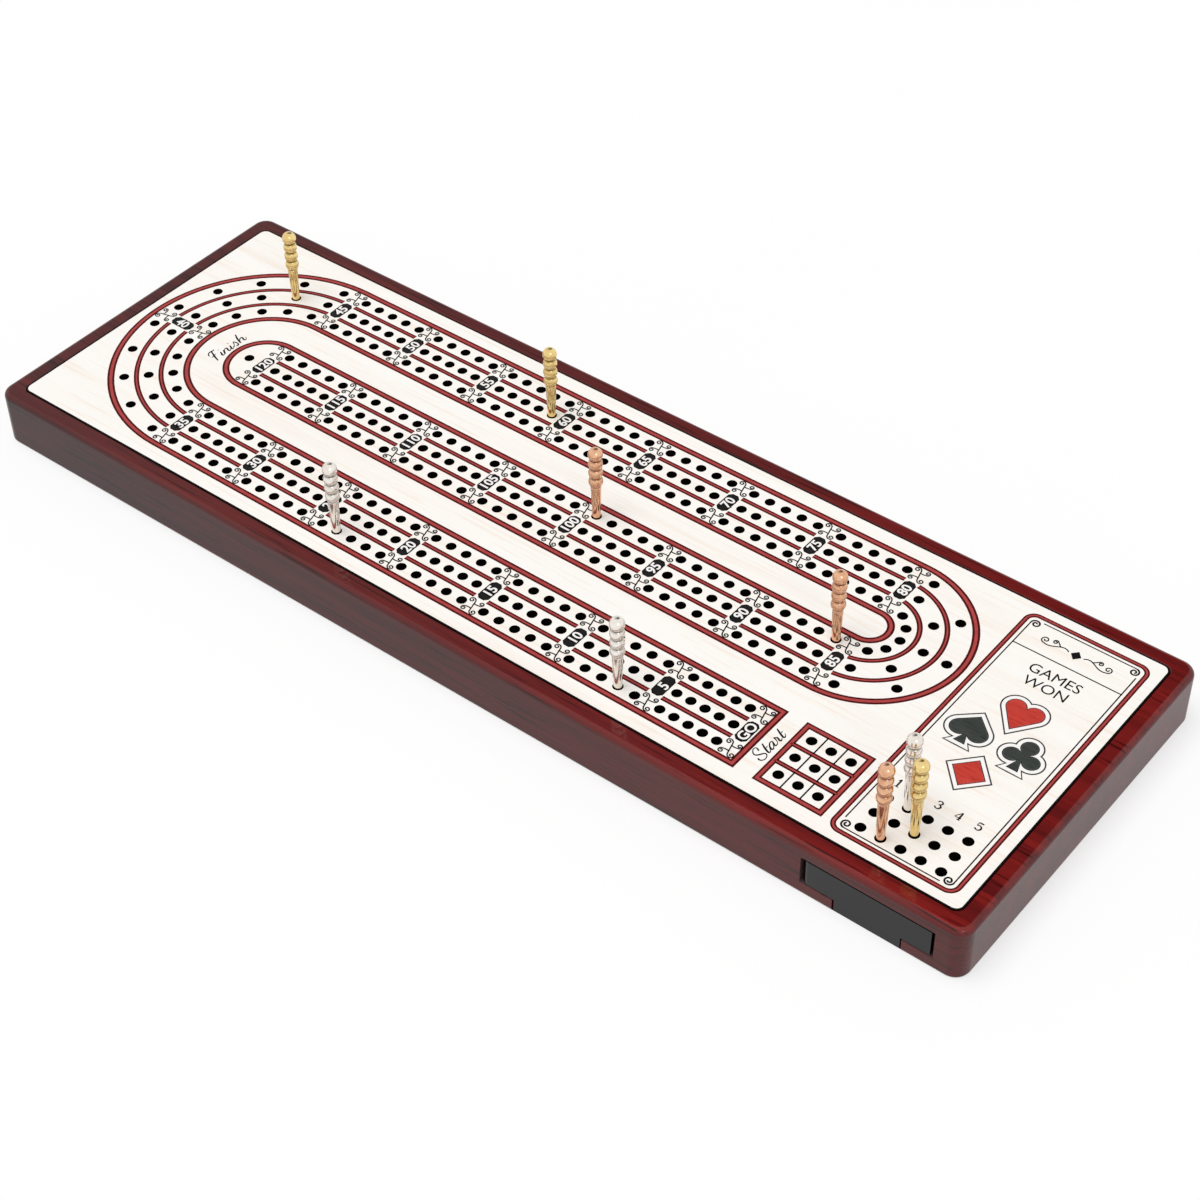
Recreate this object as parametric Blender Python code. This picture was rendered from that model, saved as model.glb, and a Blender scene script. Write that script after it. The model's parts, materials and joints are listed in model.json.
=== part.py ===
"""Three-lane cribbage board: a wooden slab with a drilled deck let into it, card-suit inlays,
turned metal pegs, and a peg drawer that swings out of the front edge on an upright pin.

Metres, +Z up. The origin is at the middle of the underside, +X runs towards the start of the track
and -Y is the front edge with the drawer."""

import math

import bmesh
import bpy

# Slab
BOARD_LENGTH = 0.368
BOARD_WIDTH = 0.124
BOARD_HEIGHT = 0.019
BOARD_CORNER_RADIUS = 0.005
TOP_EDGE_RADIUS = 0.002
BOTTOM_EDGE_RADIUS = 0.0008
BORDER_WIDTH = 0.0056

# Deck
DECK_HOLE_FLOOR = 0.0008
DECK_CORNER_RADIUS = 0.003
DECK_CLEARANCE = 0.0002

# Peg holes
HOLE_RADIUS = 0.0016
HOLE_SIDES = 7
TRACK_HOLE_DEPTH = 0.0064
SCORE_HOLE_DEPTH = 0.0044
SCORE_HOLE_FLOOR = 0.0006

# Track: three lanes of holes in groups of five, with a number label between groups
LANE_PITCH = 0.00792
GROUP_PITCH = 0.03208
GROUPS_PER_STRAIGHT = 7
HOLES_PER_GROUP = 5
SIDE_LANE_HOLE_PITCH = 0.005925
MIDDLE_LANE_HOLE_PITCH = 0.00545
FIRST_LABEL_X = -0.1246
STRAIGHT_OFFSET_Y = 0.03722
BEND_END_GAP = 0.0056
START_GROUP_HOLE_PITCH = 0.00495
START_GROUP_X = 0.0825
FINISH_HOLE_X = -0.131

# Start box and games-won grid
START_BOX_X = 0.11975
START_BOX_PITCH = 0.00655
SCORE_X = 0.1542
SCORE_Y = -0.04063
SCORE_COLUMN_PITCH = 0.00635
SCORE_ROW_PITCH = 0.00662
SCORE_COLUMNS = 5

# Suit inlays
INLAY_THICKNESS = 0.0015
INLAY_PROUD = 0.0002
INLAY_CLEARANCE = 0.0001
INLAY_MIDDLE_X = 0.1538
INLAY_SPREAD_X = 0.0085
HEART_Y = 0.0139
DIAMOND_Y = -0.013
BLACK_SUITS_Y = 0.001
LOBE_RADIUS = 0.003
LOBE_X = 0.0029
HEART_LOBE_Y = 0.0025
HEART_TIP_Y = -0.0062
SPADE_LOBE_Y = -0.0006
SPADE_TIP_Y = 0.006
CLUB_LOBE_RADIUS = 0.0026
CLUB_LOBE_X = 0.00305
CLUB_LOBE_Y = -0.0008
CLUB_TOP_Y = 0.0038
CLUB_SIDE_LOBE_END = 110.0
CLUB_TOP_LOBE_START = -60.0
STEM_TOP_HALF_WIDTH = 0.0006
STEM_FOOT_HALF_WIDTH = 0.0017
STEM_FOOT_Y = -0.0058
DIAMOND_HALF_WIDTH = 0.0053
DIAMOND_HALF_HEIGHT = 0.0057

# Drawer bay in the front edge
BAY_LEFT_X = 0.1327
BAY_RIGHT_X = 0.175
BAY_BOTTOM_Z = 0.004
BAY_DEPTH = 0.0206
BAY_END_RADIUS = 0.0008

# Drawer
DRAWER_SIDE_CLEARANCE = 0.0003
DRAWER_TOP_CLEARANCE = 0.0006
DRAWER_FREE_END_CLEARANCE = 0.0009
DRAWER_RECESS = 0.0002
DRAWER_BACK_CLEARANCE = 0.0006
DRAWER_WALL = 0.0022
DRAWER_FLOOR = 0.002
DRAWER_END_RADIUS = 0.0012
TAB_LEFT_X = 0.1438
TAB_RIGHT_X = 0.1649
TAB_DEPTH = 0.0035
TAB_CLEARANCE = 0.0005

# Drawer pin
PIN_RADIUS = 0.001
PIN_CLEARANCE = 0.0001
PIN_OUTER_WALL = 0.0011
PIN_ROOF_DEPTH = 0.0025
PIN_END_RECESS = 0.0004
PIN_BOSS_WALL = 0.0015
PIN_SIDES = 12

# Pegs
PEG_LENGTH = 0.033
PEG_BALL_RADIUS = 0.0023
PEG_BALL_TOP_ANGLE = 75.0
PEG_BALL_STEPS = 4
PEG_BEAD_RADIUS = 0.00215
PEG_BEAD_PITCH = 0.0034
PEG_BEADS = 3
PEG_NECK_RADIUS = 0.00165
PEG_TIP_CLEARANCE = 0.0005
PEG_TIP_ROUNDING = 0.0004
PEG_SEAT_CLEARANCE = 0.0002
PEG_SIDES = 10

# Rounding and cutting
CORNER_STEPS = 5
EDGE_STEPS = 3
LOBE_STEPS = 6
CUT_MARGIN = 0.001
SHARP_ANGLE = 40.0
PEG_SHARP_ANGLE = 60.0

# Where each peg stands: a lane and the number of the hole, or the row and column of the score grid
PEGS = (
    ("peg_silver_1", "outer", 24),
    ("peg_silver_2", "outer", 7),
    ("peg_silver_3", "score_back", 2),
    ("peg_brass_1", "middle", 44),
    ("peg_brass_2", "middle", 60),
    ("peg_brass_3", "score_middle", 3),
    ("peg_copper_1", "inner", 100),
    ("peg_copper_2", "inner", 86),
    ("peg_copper_3", "score_front", 2),
)

# Colour, roughness and metallic value
FINISHES = {
    "red_wood": ((0.13, 0.012, 0.012), 0.25, 0.0),
    "maple": ((0.95, 0.88, 0.78), 0.4, 0.0),
    "black_wood": ((0.045, 0.045, 0.048), 0.35, 0.0),
    "red_inlay": ((0.6, 0.06, 0.045), 0.4, 0.0),
    "steel": ((0.6, 0.6, 0.62), 0.3, 1.0),
    "silver": ((0.85, 0.83, 0.8), 0.2, 1.0),
    "brass": ((0.85, 0.62, 0.28), 0.2, 1.0),
    "copper": ((0.8, 0.42, 0.26), 0.2, 1.0),
}


# Outlines, all counter-clockwise seen from above


def arc(x, y, radius, start, end, steps):
    """Points on a circle from one angle to another, in degrees, both included."""
    angles = [math.radians(start + (end - start) * step / steps) for step in range(steps + 1)]
    return [(x + radius * math.cos(angle), y + radius * math.sin(angle)) for angle in angles]


def circle(x, y, radius, sides):
    return arc(x, y, radius, 0.0, 360.0, sides)[:-1]


def rectangle(left, right, low, high):
    return [(left, low), (right, low), (right, high), (left, high)]


def rounded_rectangle(length, width, radius):
    x = length / 2 - radius
    y = width / 2 - radius
    points = []
    for corner, (sign_x, sign_y) in enumerate(((1, 1), (-1, 1), (-1, -1), (1, -1))):
        points += arc(sign_x * x, sign_y * y, radius, 90.0 * corner, 90.0 * corner + 90.0, CORNER_STEPS)
    return points


def grown(outline, distance):
    """The outline with every edge moved out by the distance."""
    points = []
    for index, (x, y) in enumerate(outline):
        before = outline[index - 1]
        after = outline[(index + 1) % len(outline)]
        in_x, in_y = unit(x - before[0], y - before[1])
        out_x, out_y = unit(after[0] - x, after[1] - y)
        reach = distance / (1 + in_x * out_x + in_y * out_y)
        points.append((x + (in_y + out_y) * reach, y - (in_x + out_x) * reach))
    return points


def unit(x, y):
    length = math.hypot(x, y)
    return x / length, y / length


def moved(outline, x, y):
    return [(x + point_x, y + point_y) for point_x, point_y in outline]


def with_mirror_image(right_half):
    """Closes a shape from its right half, which runs up from the foot."""
    left_half = [(-x, y) for x, y in reversed(right_half)]
    return right_half + [point for point in left_half if point[0] < 0]


# Solids


def loft(mesh, rings):
    """Skins rings of equally many points, from the lowest to the highest, and closes both ends."""
    rows = [[mesh.verts.new(point) for point in ring] for ring in rings]
    for lower, upper in zip(rows, rows[1:]):
        for index in range(len(lower)):
            after = (index + 1) % len(lower)
            mesh.faces.new((lower[index], lower[after], upper[after], upper[index]))
    mesh.faces.new(rows[0][::-1])
    mesh.faces.new(rows[-1])


def level(outline, z):
    return [(x, y, z) for x, y in outline]


def prism(mesh, outline, bottom, top):
    loft(mesh, (level(outline, bottom), level(outline, top)))


def prism_along_y(mesh, elevation, front, back):
    """Pushes an outline drawn in X and Z from the front to the back."""
    loft(mesh, [[(x, y, z) for x, z in elevation] for y in (back, front)])


def add_object(name, mesh, finish, location=(0.0, 0.0, 0.0)):
    data = bpy.data.meshes.new(name)
    mesh.to_mesh(data)
    mesh.free()
    result = bpy.data.objects.new(name, data)
    result.location = location
    bpy.context.scene.collection.objects.link(result)
    data.materials.append(material(finish))
    return result


def material(finish):
    found = bpy.data.materials.get(finish)
    if found:
        return found
    color, roughness, metallic = FINISHES[finish]
    made = bpy.data.materials.new(finish)
    made.use_nodes = True
    shader = made.node_tree.nodes["Principled BSDF"]
    shader.inputs["Base Color"].default_value = (*color, 1.0)
    shader.inputs["Roughness"].default_value = roughness
    shader.inputs["Metallic"].default_value = metallic
    return made


def combine(target, name, mesh, operation="DIFFERENCE"):
    """Cuts, joins or crosses the target with a hidden helper solid."""
    helper = add_object(name, mesh, target.data.materials[0].name, target.location)
    helper.hide_render = True
    helper.display_type = "WIRE"
    modifier = target.modifiers.new(name, "BOOLEAN")
    modifier.operation = operation
    modifier.object = helper


def shade_smooth(target, sharp_angle):
    target.data.shade_smooth()
    target.data.set_sharp_from_angle(angle=math.radians(sharp_angle))


# Hole layout

LANES = {"outer": 1, "middle": 0, "inner": -1}
SCORE_PLACES = {"score_back": 1, "score_middle": 0, "score_front": -1}


def straight(group_centers, hole_pitch, y):
    """One lane of a straight, from left to right."""
    middle = (HOLES_PER_GROUP - 1) / 2
    return [(x + (hole - middle) * hole_pitch, y) for x in group_centers for hole in range(HOLES_PER_GROUP)]


def bend(center, radius, first_angle, last_angle, holes):
    """One lane of a bend, with its end holes a fixed distance inside the bend's ends."""
    inset = math.degrees(math.asin(BEND_END_GAP / radius))
    turn = math.copysign(inset, last_angle - first_angle)
    return arc(*center, radius, first_angle + turn, last_angle - turn, holes - 1)


def lane_holes(lane):
    """One lane in order of play: front straight, left bend, back straight, right bend, middle straight."""
    side = LANES[lane]
    hole_pitch = SIDE_LANE_HOLE_PITCH if side else MIDDLE_LANE_HOLE_PITCH
    group_centers = [FIRST_LABEL_X + (group + 0.5) * GROUP_PITCH for group in range(GROUPS_PER_STRAIGHT)]
    outward = side * LANE_PITCH
    front_y = -STRAIGHT_OFFSET_Y - outward
    front = straight(group_centers[:-1], hole_pitch, front_y)
    front += straight([START_GROUP_X], START_GROUP_HOLE_PITCH, front_y)
    back = straight(group_centers, hole_pitch, STRAIGHT_OFFSET_Y + outward)
    home = straight(group_centers, hole_pitch, -outward)
    left_center = (FIRST_LABEL_X, 0.0)
    left_radius = STRAIGHT_OFFSET_Y + outward
    right_center = (FIRST_LABEL_X + GROUPS_PER_STRAIGHT * GROUP_PITCH, STRAIGHT_OFFSET_Y / 2)
    right_radius = STRAIGHT_OFFSET_Y / 2 + outward
    left = bend(left_center, left_radius, 270.0, 180.0, HOLES_PER_GROUP)
    left += bend(left_center, left_radius, 180.0, 90.0, HOLES_PER_GROUP)
    right = bend(right_center, right_radius, 90.0, -90.0, HOLES_PER_GROUP)
    return front[::-1] + left + back + right + home[::-1]


def score_row(place):
    y = SCORE_Y + SCORE_PLACES[place] * SCORE_ROW_PITCH
    middle = (SCORE_COLUMNS - 1) / 2
    return [(SCORE_X + (column - middle) * SCORE_COLUMN_PITCH, y) for column in range(SCORE_COLUMNS)]


def start_box():
    steps = (-1, 0, 1)
    return [
        (START_BOX_X + column * START_BOX_PITCH, -STRAIGHT_OFFSET_Y + row * LANE_PITCH)
        for column in steps
        for row in steps
    ]


# Suits, each drawn about its own middle


def slope_angle(lobe_x, lobe_y, tip_y):
    """The angle at which a straight edge from a tip on the middle line touches the right lobe."""
    away = math.hypot(lobe_x, tip_y - lobe_y)
    towards_tip = math.degrees(math.atan2(tip_y - lobe_y, -lobe_x))
    spread = math.degrees(math.acos(LOBE_RADIUS / away))
    return towards_tip + spread if tip_y < lobe_y else towards_tip - spread


def heart():
    start = slope_angle(LOBE_X, HEART_LOBE_Y, HEART_TIP_Y)
    notch = 180.0 - math.degrees(math.acos(LOBE_X / LOBE_RADIUS))
    lobe = arc(LOBE_X, HEART_LOBE_Y, LOBE_RADIUS, start, notch, LOBE_STEPS)
    notch_y = lobe[-1][1]
    return with_mirror_image([(0.0, HEART_TIP_Y)] + lobe[:-1] + [(0.0, notch_y)])


def spade():
    end = slope_angle(LOBE_X, SPADE_LOBE_Y, SPADE_TIP_Y)
    stem = 180.0 + math.degrees(math.acos((LOBE_X - STEM_TOP_HALF_WIDTH) / LOBE_RADIUS))
    lobe = arc(LOBE_X, SPADE_LOBE_Y, LOBE_RADIUS, stem - 360.0, end, LOBE_STEPS)
    return with_mirror_image([(STEM_FOOT_HALF_WIDTH, STEM_FOOT_Y)] + lobe + [(0.0, SPADE_TIP_Y)])


def club():
    stem = 180.0 + math.degrees(math.acos((CLUB_LOBE_X - STEM_TOP_HALF_WIDTH) / CLUB_LOBE_RADIUS))
    start = stem - 360.0
    side_lobe = arc(CLUB_LOBE_X, CLUB_LOBE_Y, CLUB_LOBE_RADIUS, start, CLUB_SIDE_LOBE_END, LOBE_STEPS)
    top_lobe = arc(0.0, CLUB_TOP_Y, CLUB_LOBE_RADIUS, CLUB_TOP_LOBE_START, 90.0, LOBE_STEPS // 2)
    top = (0.0, CLUB_TOP_Y + CLUB_LOBE_RADIUS)
    return with_mirror_image([(STEM_FOOT_HALF_WIDTH, STEM_FOOT_Y)] + side_lobe + top_lobe[:-1] + [top])


def diamond():
    foot = (0.0, -DIAMOND_HALF_HEIGHT)
    top = (0.0, DIAMOND_HALF_HEIGHT)
    return with_mirror_image([foot, (DIAMOND_HALF_WIDTH, 0.0), top])


def suits():
    """Name, finish and outline in place of each inlay."""
    left = INLAY_MIDDLE_X - INLAY_SPREAD_X
    right = INLAY_MIDDLE_X + INLAY_SPREAD_X
    return (
        ("inlay_heart", "red_inlay", moved(heart(), INLAY_MIDDLE_X, HEART_Y)),
        ("inlay_diamond", "red_inlay", moved(diamond(), INLAY_MIDDLE_X, DIAMOND_Y)),
        ("inlay_spade", "black_wood", moved(spade(), left, BLACK_SUITS_Y)),
        ("inlay_club", "black_wood", moved(club(), right, BLACK_SUITS_Y)),
    )


# Pieces

DECK_THICKNESS = TRACK_HOLE_DEPTH + DECK_HOLE_FLOOR
BAY_TOP_Z = BOARD_HEIGHT - SCORE_HOLE_DEPTH - SCORE_HOLE_FLOOR
FRONT_Y = -BOARD_WIDTH / 2
DRAWER_LEFT_X = BAY_LEFT_X + DRAWER_SIDE_CLEARANCE
DRAWER_FRONT_Y = FRONT_Y + DRAWER_RECESS
DRAWER_BACK_Y = FRONT_Y + BAY_DEPTH - DRAWER_BACK_CLEARANCE
DRAWER_BOTTOM_Z = BAY_BOTTOM_Z + DRAWER_SIDE_CLEARANCE
DRAWER_TOP_Z = BAY_TOP_Z - DRAWER_TOP_CLEARANCE
PIN_BORE_RADIUS = PIN_RADIUS + PIN_CLEARANCE
PIN_INSET = PIN_BORE_RADIUS + PIN_OUTER_WALL
PIN_BOSS_RADIUS = PIN_BORE_RADIUS + PIN_BOSS_WALL
PIN_X = DRAWER_LEFT_X + PIN_INSET
PIN_Y = DRAWER_FRONT_Y + PIN_INSET
DRAWER_REACH = BAY_RIGHT_X - DRAWER_FREE_END_CLEARANCE - PIN_X
PEG_TIP_RADIUS = HOLE_RADIUS - PEG_TIP_CLEARANCE


def round_ended_elevation(left, low, high, radius):
    """The drawer or its bay from the front: round corners at the pin's end, square at the other."""
    right = BAY_RIGHT_X
    low_corner = arc(left + radius, low + radius, radius, 180.0, 270.0, CORNER_STEPS)
    high_corner = arc(left + radius, high - radius, radius, 90.0, 180.0, CORNER_STEPS)
    return low_corner + [(right, low), (right, high)] + high_corner


def pin_bore(mesh):
    top = BAY_TOP_Z + PIN_ROOF_DEPTH + PIN_CLEARANCE
    prism(mesh, circle(PIN_X, PIN_Y, PIN_BORE_RADIUS, PIN_SIDES), -CUT_MARGIN, top)


def inset_outline(inset):
    """The slab's outline, moved in by the inset."""
    length = BOARD_LENGTH - 2 * inset
    width = BOARD_WIDTH - 2 * inset
    return rounded_rectangle(length, width, BOARD_CORNER_RADIUS - inset)


def panel_outline(inset):
    """The outline of the pocket inside the border, moved in by the inset."""
    length = BOARD_LENGTH - 2 * BORDER_WIDTH - 2 * inset
    width = BOARD_WIDTH - 2 * BORDER_WIDTH - 2 * inset
    return rounded_rectangle(length, width, DECK_CORNER_RADIUS - inset)


def slab_rings():
    """The slab's outline at each height, drawn in at the rounded bottom and top edges."""
    low = arc(BOTTOM_EDGE_RADIUS, BOTTOM_EDGE_RADIUS, BOTTOM_EDGE_RADIUS, 270.0, 180.0, EDGE_STEPS)
    high = arc(TOP_EDGE_RADIUS, BOARD_HEIGHT - TOP_EDGE_RADIUS, TOP_EDGE_RADIUS, 180.0, 90.0, EDGE_STEPS)
    return [level(inset_outline(inset), z) for inset, z in low + high]


def make_base():
    mesh = bmesh.new()
    loft(mesh, slab_rings())
    base = add_object("base", mesh, "red_wood")

    mesh = bmesh.new()
    pocket_floor = BOARD_HEIGHT - DECK_THICKNESS - DECK_CLEARANCE
    prism(mesh, panel_outline(0.0), pocket_floor, BOARD_HEIGHT + CUT_MARGIN)
    combine(base, "deck_pocket", mesh)

    mesh = bmesh.new()
    elevation = round_ended_elevation(BAY_LEFT_X, BAY_BOTTOM_Z, BAY_TOP_Z, BAY_END_RADIUS)
    prism_along_y(mesh, elevation, FRONT_Y - CUT_MARGIN, FRONT_Y + BAY_DEPTH)
    combine(base, "drawer_bay", mesh)

    mesh = bmesh.new()
    notch = rectangle(
        TAB_LEFT_X - TAB_CLEARANCE,
        TAB_RIGHT_X + TAB_CLEARANCE,
        FRONT_Y - CUT_MARGIN,
        DRAWER_FRONT_Y + TAB_DEPTH + TAB_CLEARANCE,
    )
    prism(mesh, notch, -CUT_MARGIN, BAY_BOTTOM_Z + CUT_MARGIN)
    combine(base, "tab_notch", mesh)

    mesh = bmesh.new()
    pin_bore(mesh)
    combine(base, "base_pin_bore", mesh)
    shade_smooth(base, SHARP_ANGLE)


def make_deck(holes):
    mesh = bmesh.new()
    prism(mesh, panel_outline(DECK_CLEARANCE), BOARD_HEIGHT - DECK_THICKNESS, BOARD_HEIGHT)
    deck = add_object("deck", mesh, "maple")

    mesh = bmesh.new()
    for x, y, depth in holes:
        ring = circle(x, y, HOLE_RADIUS, HOLE_SIDES)
        prism(mesh, ring, BOARD_HEIGHT - depth, BOARD_HEIGHT + CUT_MARGIN)
    combine(deck, "peg_holes", mesh)

    mesh = bmesh.new()
    seat = BOARD_HEIGHT + INLAY_PROUD - INLAY_THICKNESS - INLAY_CLEARANCE
    for _, _, outline in suits():
        prism(mesh, grown(outline, INLAY_CLEARANCE), seat, BOARD_HEIGHT + CUT_MARGIN)
    combine(deck, "suit_pockets", mesh)

    mesh = bmesh.new()
    relief = rectangle(BAY_LEFT_X, BAY_RIGHT_X, FRONT_Y, FRONT_Y + BAY_DEPTH)
    prism(mesh, relief, BOARD_HEIGHT - DECK_THICKNESS - CUT_MARGIN, BAY_TOP_Z)
    combine(deck, "drawer_relief", mesh)


def make_inlays():
    top = BOARD_HEIGHT + INLAY_PROUD
    for name, finish, outline in suits():
        mesh = bmesh.new()
        prism(mesh, outline, top - INLAY_THICKNESS, top)
        add_object(name, mesh, finish)


def drawer_plan():
    """The drawer from above, about the pin: round at the pin, and an arc about the pin at the free end."""
    front = DRAWER_FRONT_Y - PIN_Y
    back = DRAWER_BACK_Y - PIN_Y
    left = DRAWER_LEFT_X - PIN_X
    start = math.degrees(math.asin(front / DRAWER_REACH))
    end = math.degrees(math.asin(back / DRAWER_REACH))
    free_end = arc(0.0, 0.0, DRAWER_REACH, start, end, CORNER_STEPS)
    pivot_end = arc(0.0, 0.0, PIN_INSET, 180.0, 270.0, CORNER_STEPS)
    return free_end + [(left, back)] + pivot_end


def drawer_hollow():
    """The room for pegs, a wall's thickness inside the drawer and clear of the pin's boss."""
    front = DRAWER_FRONT_Y + DRAWER_WALL - PIN_Y
    back = DRAWER_BACK_Y - DRAWER_WALL - PIN_Y
    left = DRAWER_LEFT_X + DRAWER_WALL - PIN_X
    reach = DRAWER_REACH - DRAWER_WALL
    start = math.degrees(math.asin(front / reach))
    end = math.degrees(math.asin(back / reach))
    free_end = arc(0.0, 0.0, reach, start, end, CORNER_STEPS)
    boss_start = math.degrees(math.acos(left / PIN_BOSS_RADIUS))
    boss_end = math.degrees(math.asin(front / PIN_BOSS_RADIUS))
    boss = arc(0.0, 0.0, PIN_BOSS_RADIUS, boss_start, boss_end, CORNER_STEPS)
    return free_end + [(left, back)] + boss


def make_drawer():
    mesh = bmesh.new()
    prism(mesh, drawer_plan(), DRAWER_BOTTOM_Z, DRAWER_TOP_Z)
    drawer = add_object("drawer", mesh, "black_wood", (PIN_X, PIN_Y, 0.0))

    mesh = bmesh.new()
    elevation = round_ended_elevation(DRAWER_LEFT_X, DRAWER_BOTTOM_Z, DRAWER_TOP_Z, DRAWER_END_RADIUS)
    prism_along_y(mesh, moved(elevation, -PIN_X, 0.0), FRONT_Y - PIN_Y - CUT_MARGIN, BAY_DEPTH)
    combine(drawer, "drawer_round_end", mesh, "INTERSECT")

    mesh = bmesh.new()
    prism(mesh, drawer_hollow(), DRAWER_BOTTOM_Z + DRAWER_FLOOR, DRAWER_TOP_Z + CUT_MARGIN)
    combine(drawer, "drawer_hollow", mesh)

    mesh = bmesh.new()
    front = DRAWER_FRONT_Y - PIN_Y
    tab = rectangle(TAB_LEFT_X - PIN_X, TAB_RIGHT_X - PIN_X, front, front + TAB_DEPTH)
    prism(mesh, tab, DRAWER_SIDE_CLEARANCE, DRAWER_BOTTOM_Z + DRAWER_FLOOR / 2)
    combine(drawer, "pull_tab", mesh, "UNION")

    mesh = bmesh.new()
    bore = circle(0.0, 0.0, PIN_BORE_RADIUS, PIN_SIDES)
    prism(mesh, bore, -CUT_MARGIN, BOARD_HEIGHT)
    combine(drawer, "drawer_pin_bore", mesh)
    shade_smooth(drawer, SHARP_ANGLE)


def make_pin():
    mesh = bmesh.new()
    ring = circle(0.0, 0.0, PIN_RADIUS, PIN_SIDES)
    prism(mesh, ring, PIN_END_RECESS, BAY_TOP_Z + PIN_ROOF_DEPTH)
    pin = add_object("drawer_pin", mesh, "steel", (PIN_X, PIN_Y, 0.0))
    shade_smooth(pin, SHARP_ANGLE)


def peg_profile():
    """Radius and height above the tip: a tapered shank, a row of beads and a ball on top."""
    ball_center = PEG_LENGTH - PEG_BALL_RADIUS
    ball_start = math.degrees(math.asin(-math.sqrt(1 - (PEG_NECK_RADIUS / PEG_BALL_RADIUS) ** 2)))
    ball = arc(0.0, ball_center, PEG_BALL_RADIUS, ball_start, PEG_BALL_TOP_ANGLE, PEG_BALL_STEPS)
    shoulder = ball[0][1] - PEG_BEADS * PEG_BEAD_PITCH
    profile = [(PEG_TIP_RADIUS - PEG_TIP_ROUNDING, 0.0), (PEG_TIP_RADIUS, PEG_TIP_ROUNDING)]
    for bead in range(PEG_BEADS):
        foot = shoulder + bead * PEG_BEAD_PITCH
        profile += [(PEG_NECK_RADIUS, foot), (PEG_BEAD_RADIUS, foot + PEG_BEAD_PITCH / 2)]
    return profile + ball


def make_peg(name, x, y, depth):
    mesh = bmesh.new()
    loft(mesh, [level(circle(0.0, 0.0, radius, PEG_SIDES), z) for radius, z in peg_profile()])
    tip_z = BOARD_HEIGHT - depth + PEG_SEAT_CLEARANCE
    peg = add_object(name, mesh, name.split("_")[1], (x, y, tip_z))
    shade_smooth(peg, PEG_SHARP_ANGLE)


def main():
    for existing in list(bpy.data.objects):
        bpy.data.objects.remove(existing)
    track = {lane: lane_holes(lane) for lane in LANES}
    score = {place: score_row(place) for place in SCORE_PLACES}
    holes = [(x, y, TRACK_HOLE_DEPTH) for lane in track.values() for x, y in lane]
    holes.append((FINISH_HOLE_X, 0.0, TRACK_HOLE_DEPTH))
    holes += [(x, y, TRACK_HOLE_DEPTH) for x, y in start_box()]
    holes += [(x, y, SCORE_HOLE_DEPTH) for row in score.values() for x, y in row]
    make_base()
    make_deck(holes)
    make_inlays()
    make_drawer()
    make_pin()
    for name, place, number in PEGS:
        row, depth = (track[place], TRACK_HOLE_DEPTH) if place in track else (score[place], SCORE_HOLE_DEPTH)
        make_peg(name, *row[number - 1], depth)


main()
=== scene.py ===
"""Looks for a wooden cribbage board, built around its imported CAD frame.

A lacquered slab holds a printed maple deck with inlaid card suits, turned metal pegs and a swing-out
peg drawer. Lengths are in millimetres in the CAD's axes: X along the board, Y to its back, Z up.
"""

import json
import math

import bmesh
import bpy
from mathutils import Matrix, Vector


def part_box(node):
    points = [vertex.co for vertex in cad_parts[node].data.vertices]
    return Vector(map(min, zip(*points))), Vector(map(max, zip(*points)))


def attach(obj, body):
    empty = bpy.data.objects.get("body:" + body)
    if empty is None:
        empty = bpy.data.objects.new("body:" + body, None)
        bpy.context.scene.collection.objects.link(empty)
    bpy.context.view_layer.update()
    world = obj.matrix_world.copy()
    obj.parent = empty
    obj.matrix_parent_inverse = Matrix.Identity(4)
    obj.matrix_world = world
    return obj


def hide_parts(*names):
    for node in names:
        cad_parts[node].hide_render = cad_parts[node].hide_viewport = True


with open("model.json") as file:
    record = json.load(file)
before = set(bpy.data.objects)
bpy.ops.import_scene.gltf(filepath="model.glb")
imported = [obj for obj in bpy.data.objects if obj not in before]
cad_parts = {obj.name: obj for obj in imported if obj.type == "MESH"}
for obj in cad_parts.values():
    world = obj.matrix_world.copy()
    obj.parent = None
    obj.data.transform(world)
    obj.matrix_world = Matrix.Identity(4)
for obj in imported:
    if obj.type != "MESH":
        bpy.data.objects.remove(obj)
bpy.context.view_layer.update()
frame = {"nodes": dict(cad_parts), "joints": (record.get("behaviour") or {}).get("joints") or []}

MM = 0.001


def node_box(node):
    """A CAD node's lowest and highest corners."""
    low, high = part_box(node)
    return low / MM, high / MM


# Slab and deck
BASE_HIGH = node_box("base")[1]
HALF_LENGTH = BASE_HIGH.x
HALF_WIDTH = BASE_HIGH.y
TOP = BASE_HIGH.z
CORNER_RADIUS = 5.0
CORNER_STEPS = 12
TOP_ROUNDING = 2.0
BOTTOM_ROUNDING = 0.8
ROUNDING_STEPS = 8
BORDER_WIDTH = 5.6
POCKET_FLOOR = 11.6
POCKET_CORNER_RADIUS = 3.0
POCKET_EASE = 0.15
DECK_LOW, DECK_HIGH = node_box("deck")
DECK_CORNER_RADIUS = 2.8
DECK_EASE = 0.12

# Holes
TRACK_HOLE_DEPTH = 6.4
SCORE_HOLE_DEPTH = 4.4
HOLE_RADIUS = 1.6
HOLE_SIDES = 24
HOLE_EASE = 0.06
FLAT = 0.02
CUT_MARGIN = 1.0

# Track
LANE_PITCH = 7.92
FIRST_LABEL_X = -124.6
LABEL_PITCH = 32.08
LABELS_PER_STRAIGHT = 8
GO_X = 97.0
STRAIGHT_Y = 37.22
LEFT_X = FIRST_LABEL_X
RIGHT_X = FIRST_LABEL_X + LABEL_PITCH * (LABELS_PER_STRAIGHT - 1)
U_BEND_RADIUS = STRAIGHT_Y / 2
TRACK_END_X = 100.7
TRACK_REACH = 12.23
BEND_STEPS = 48

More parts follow.
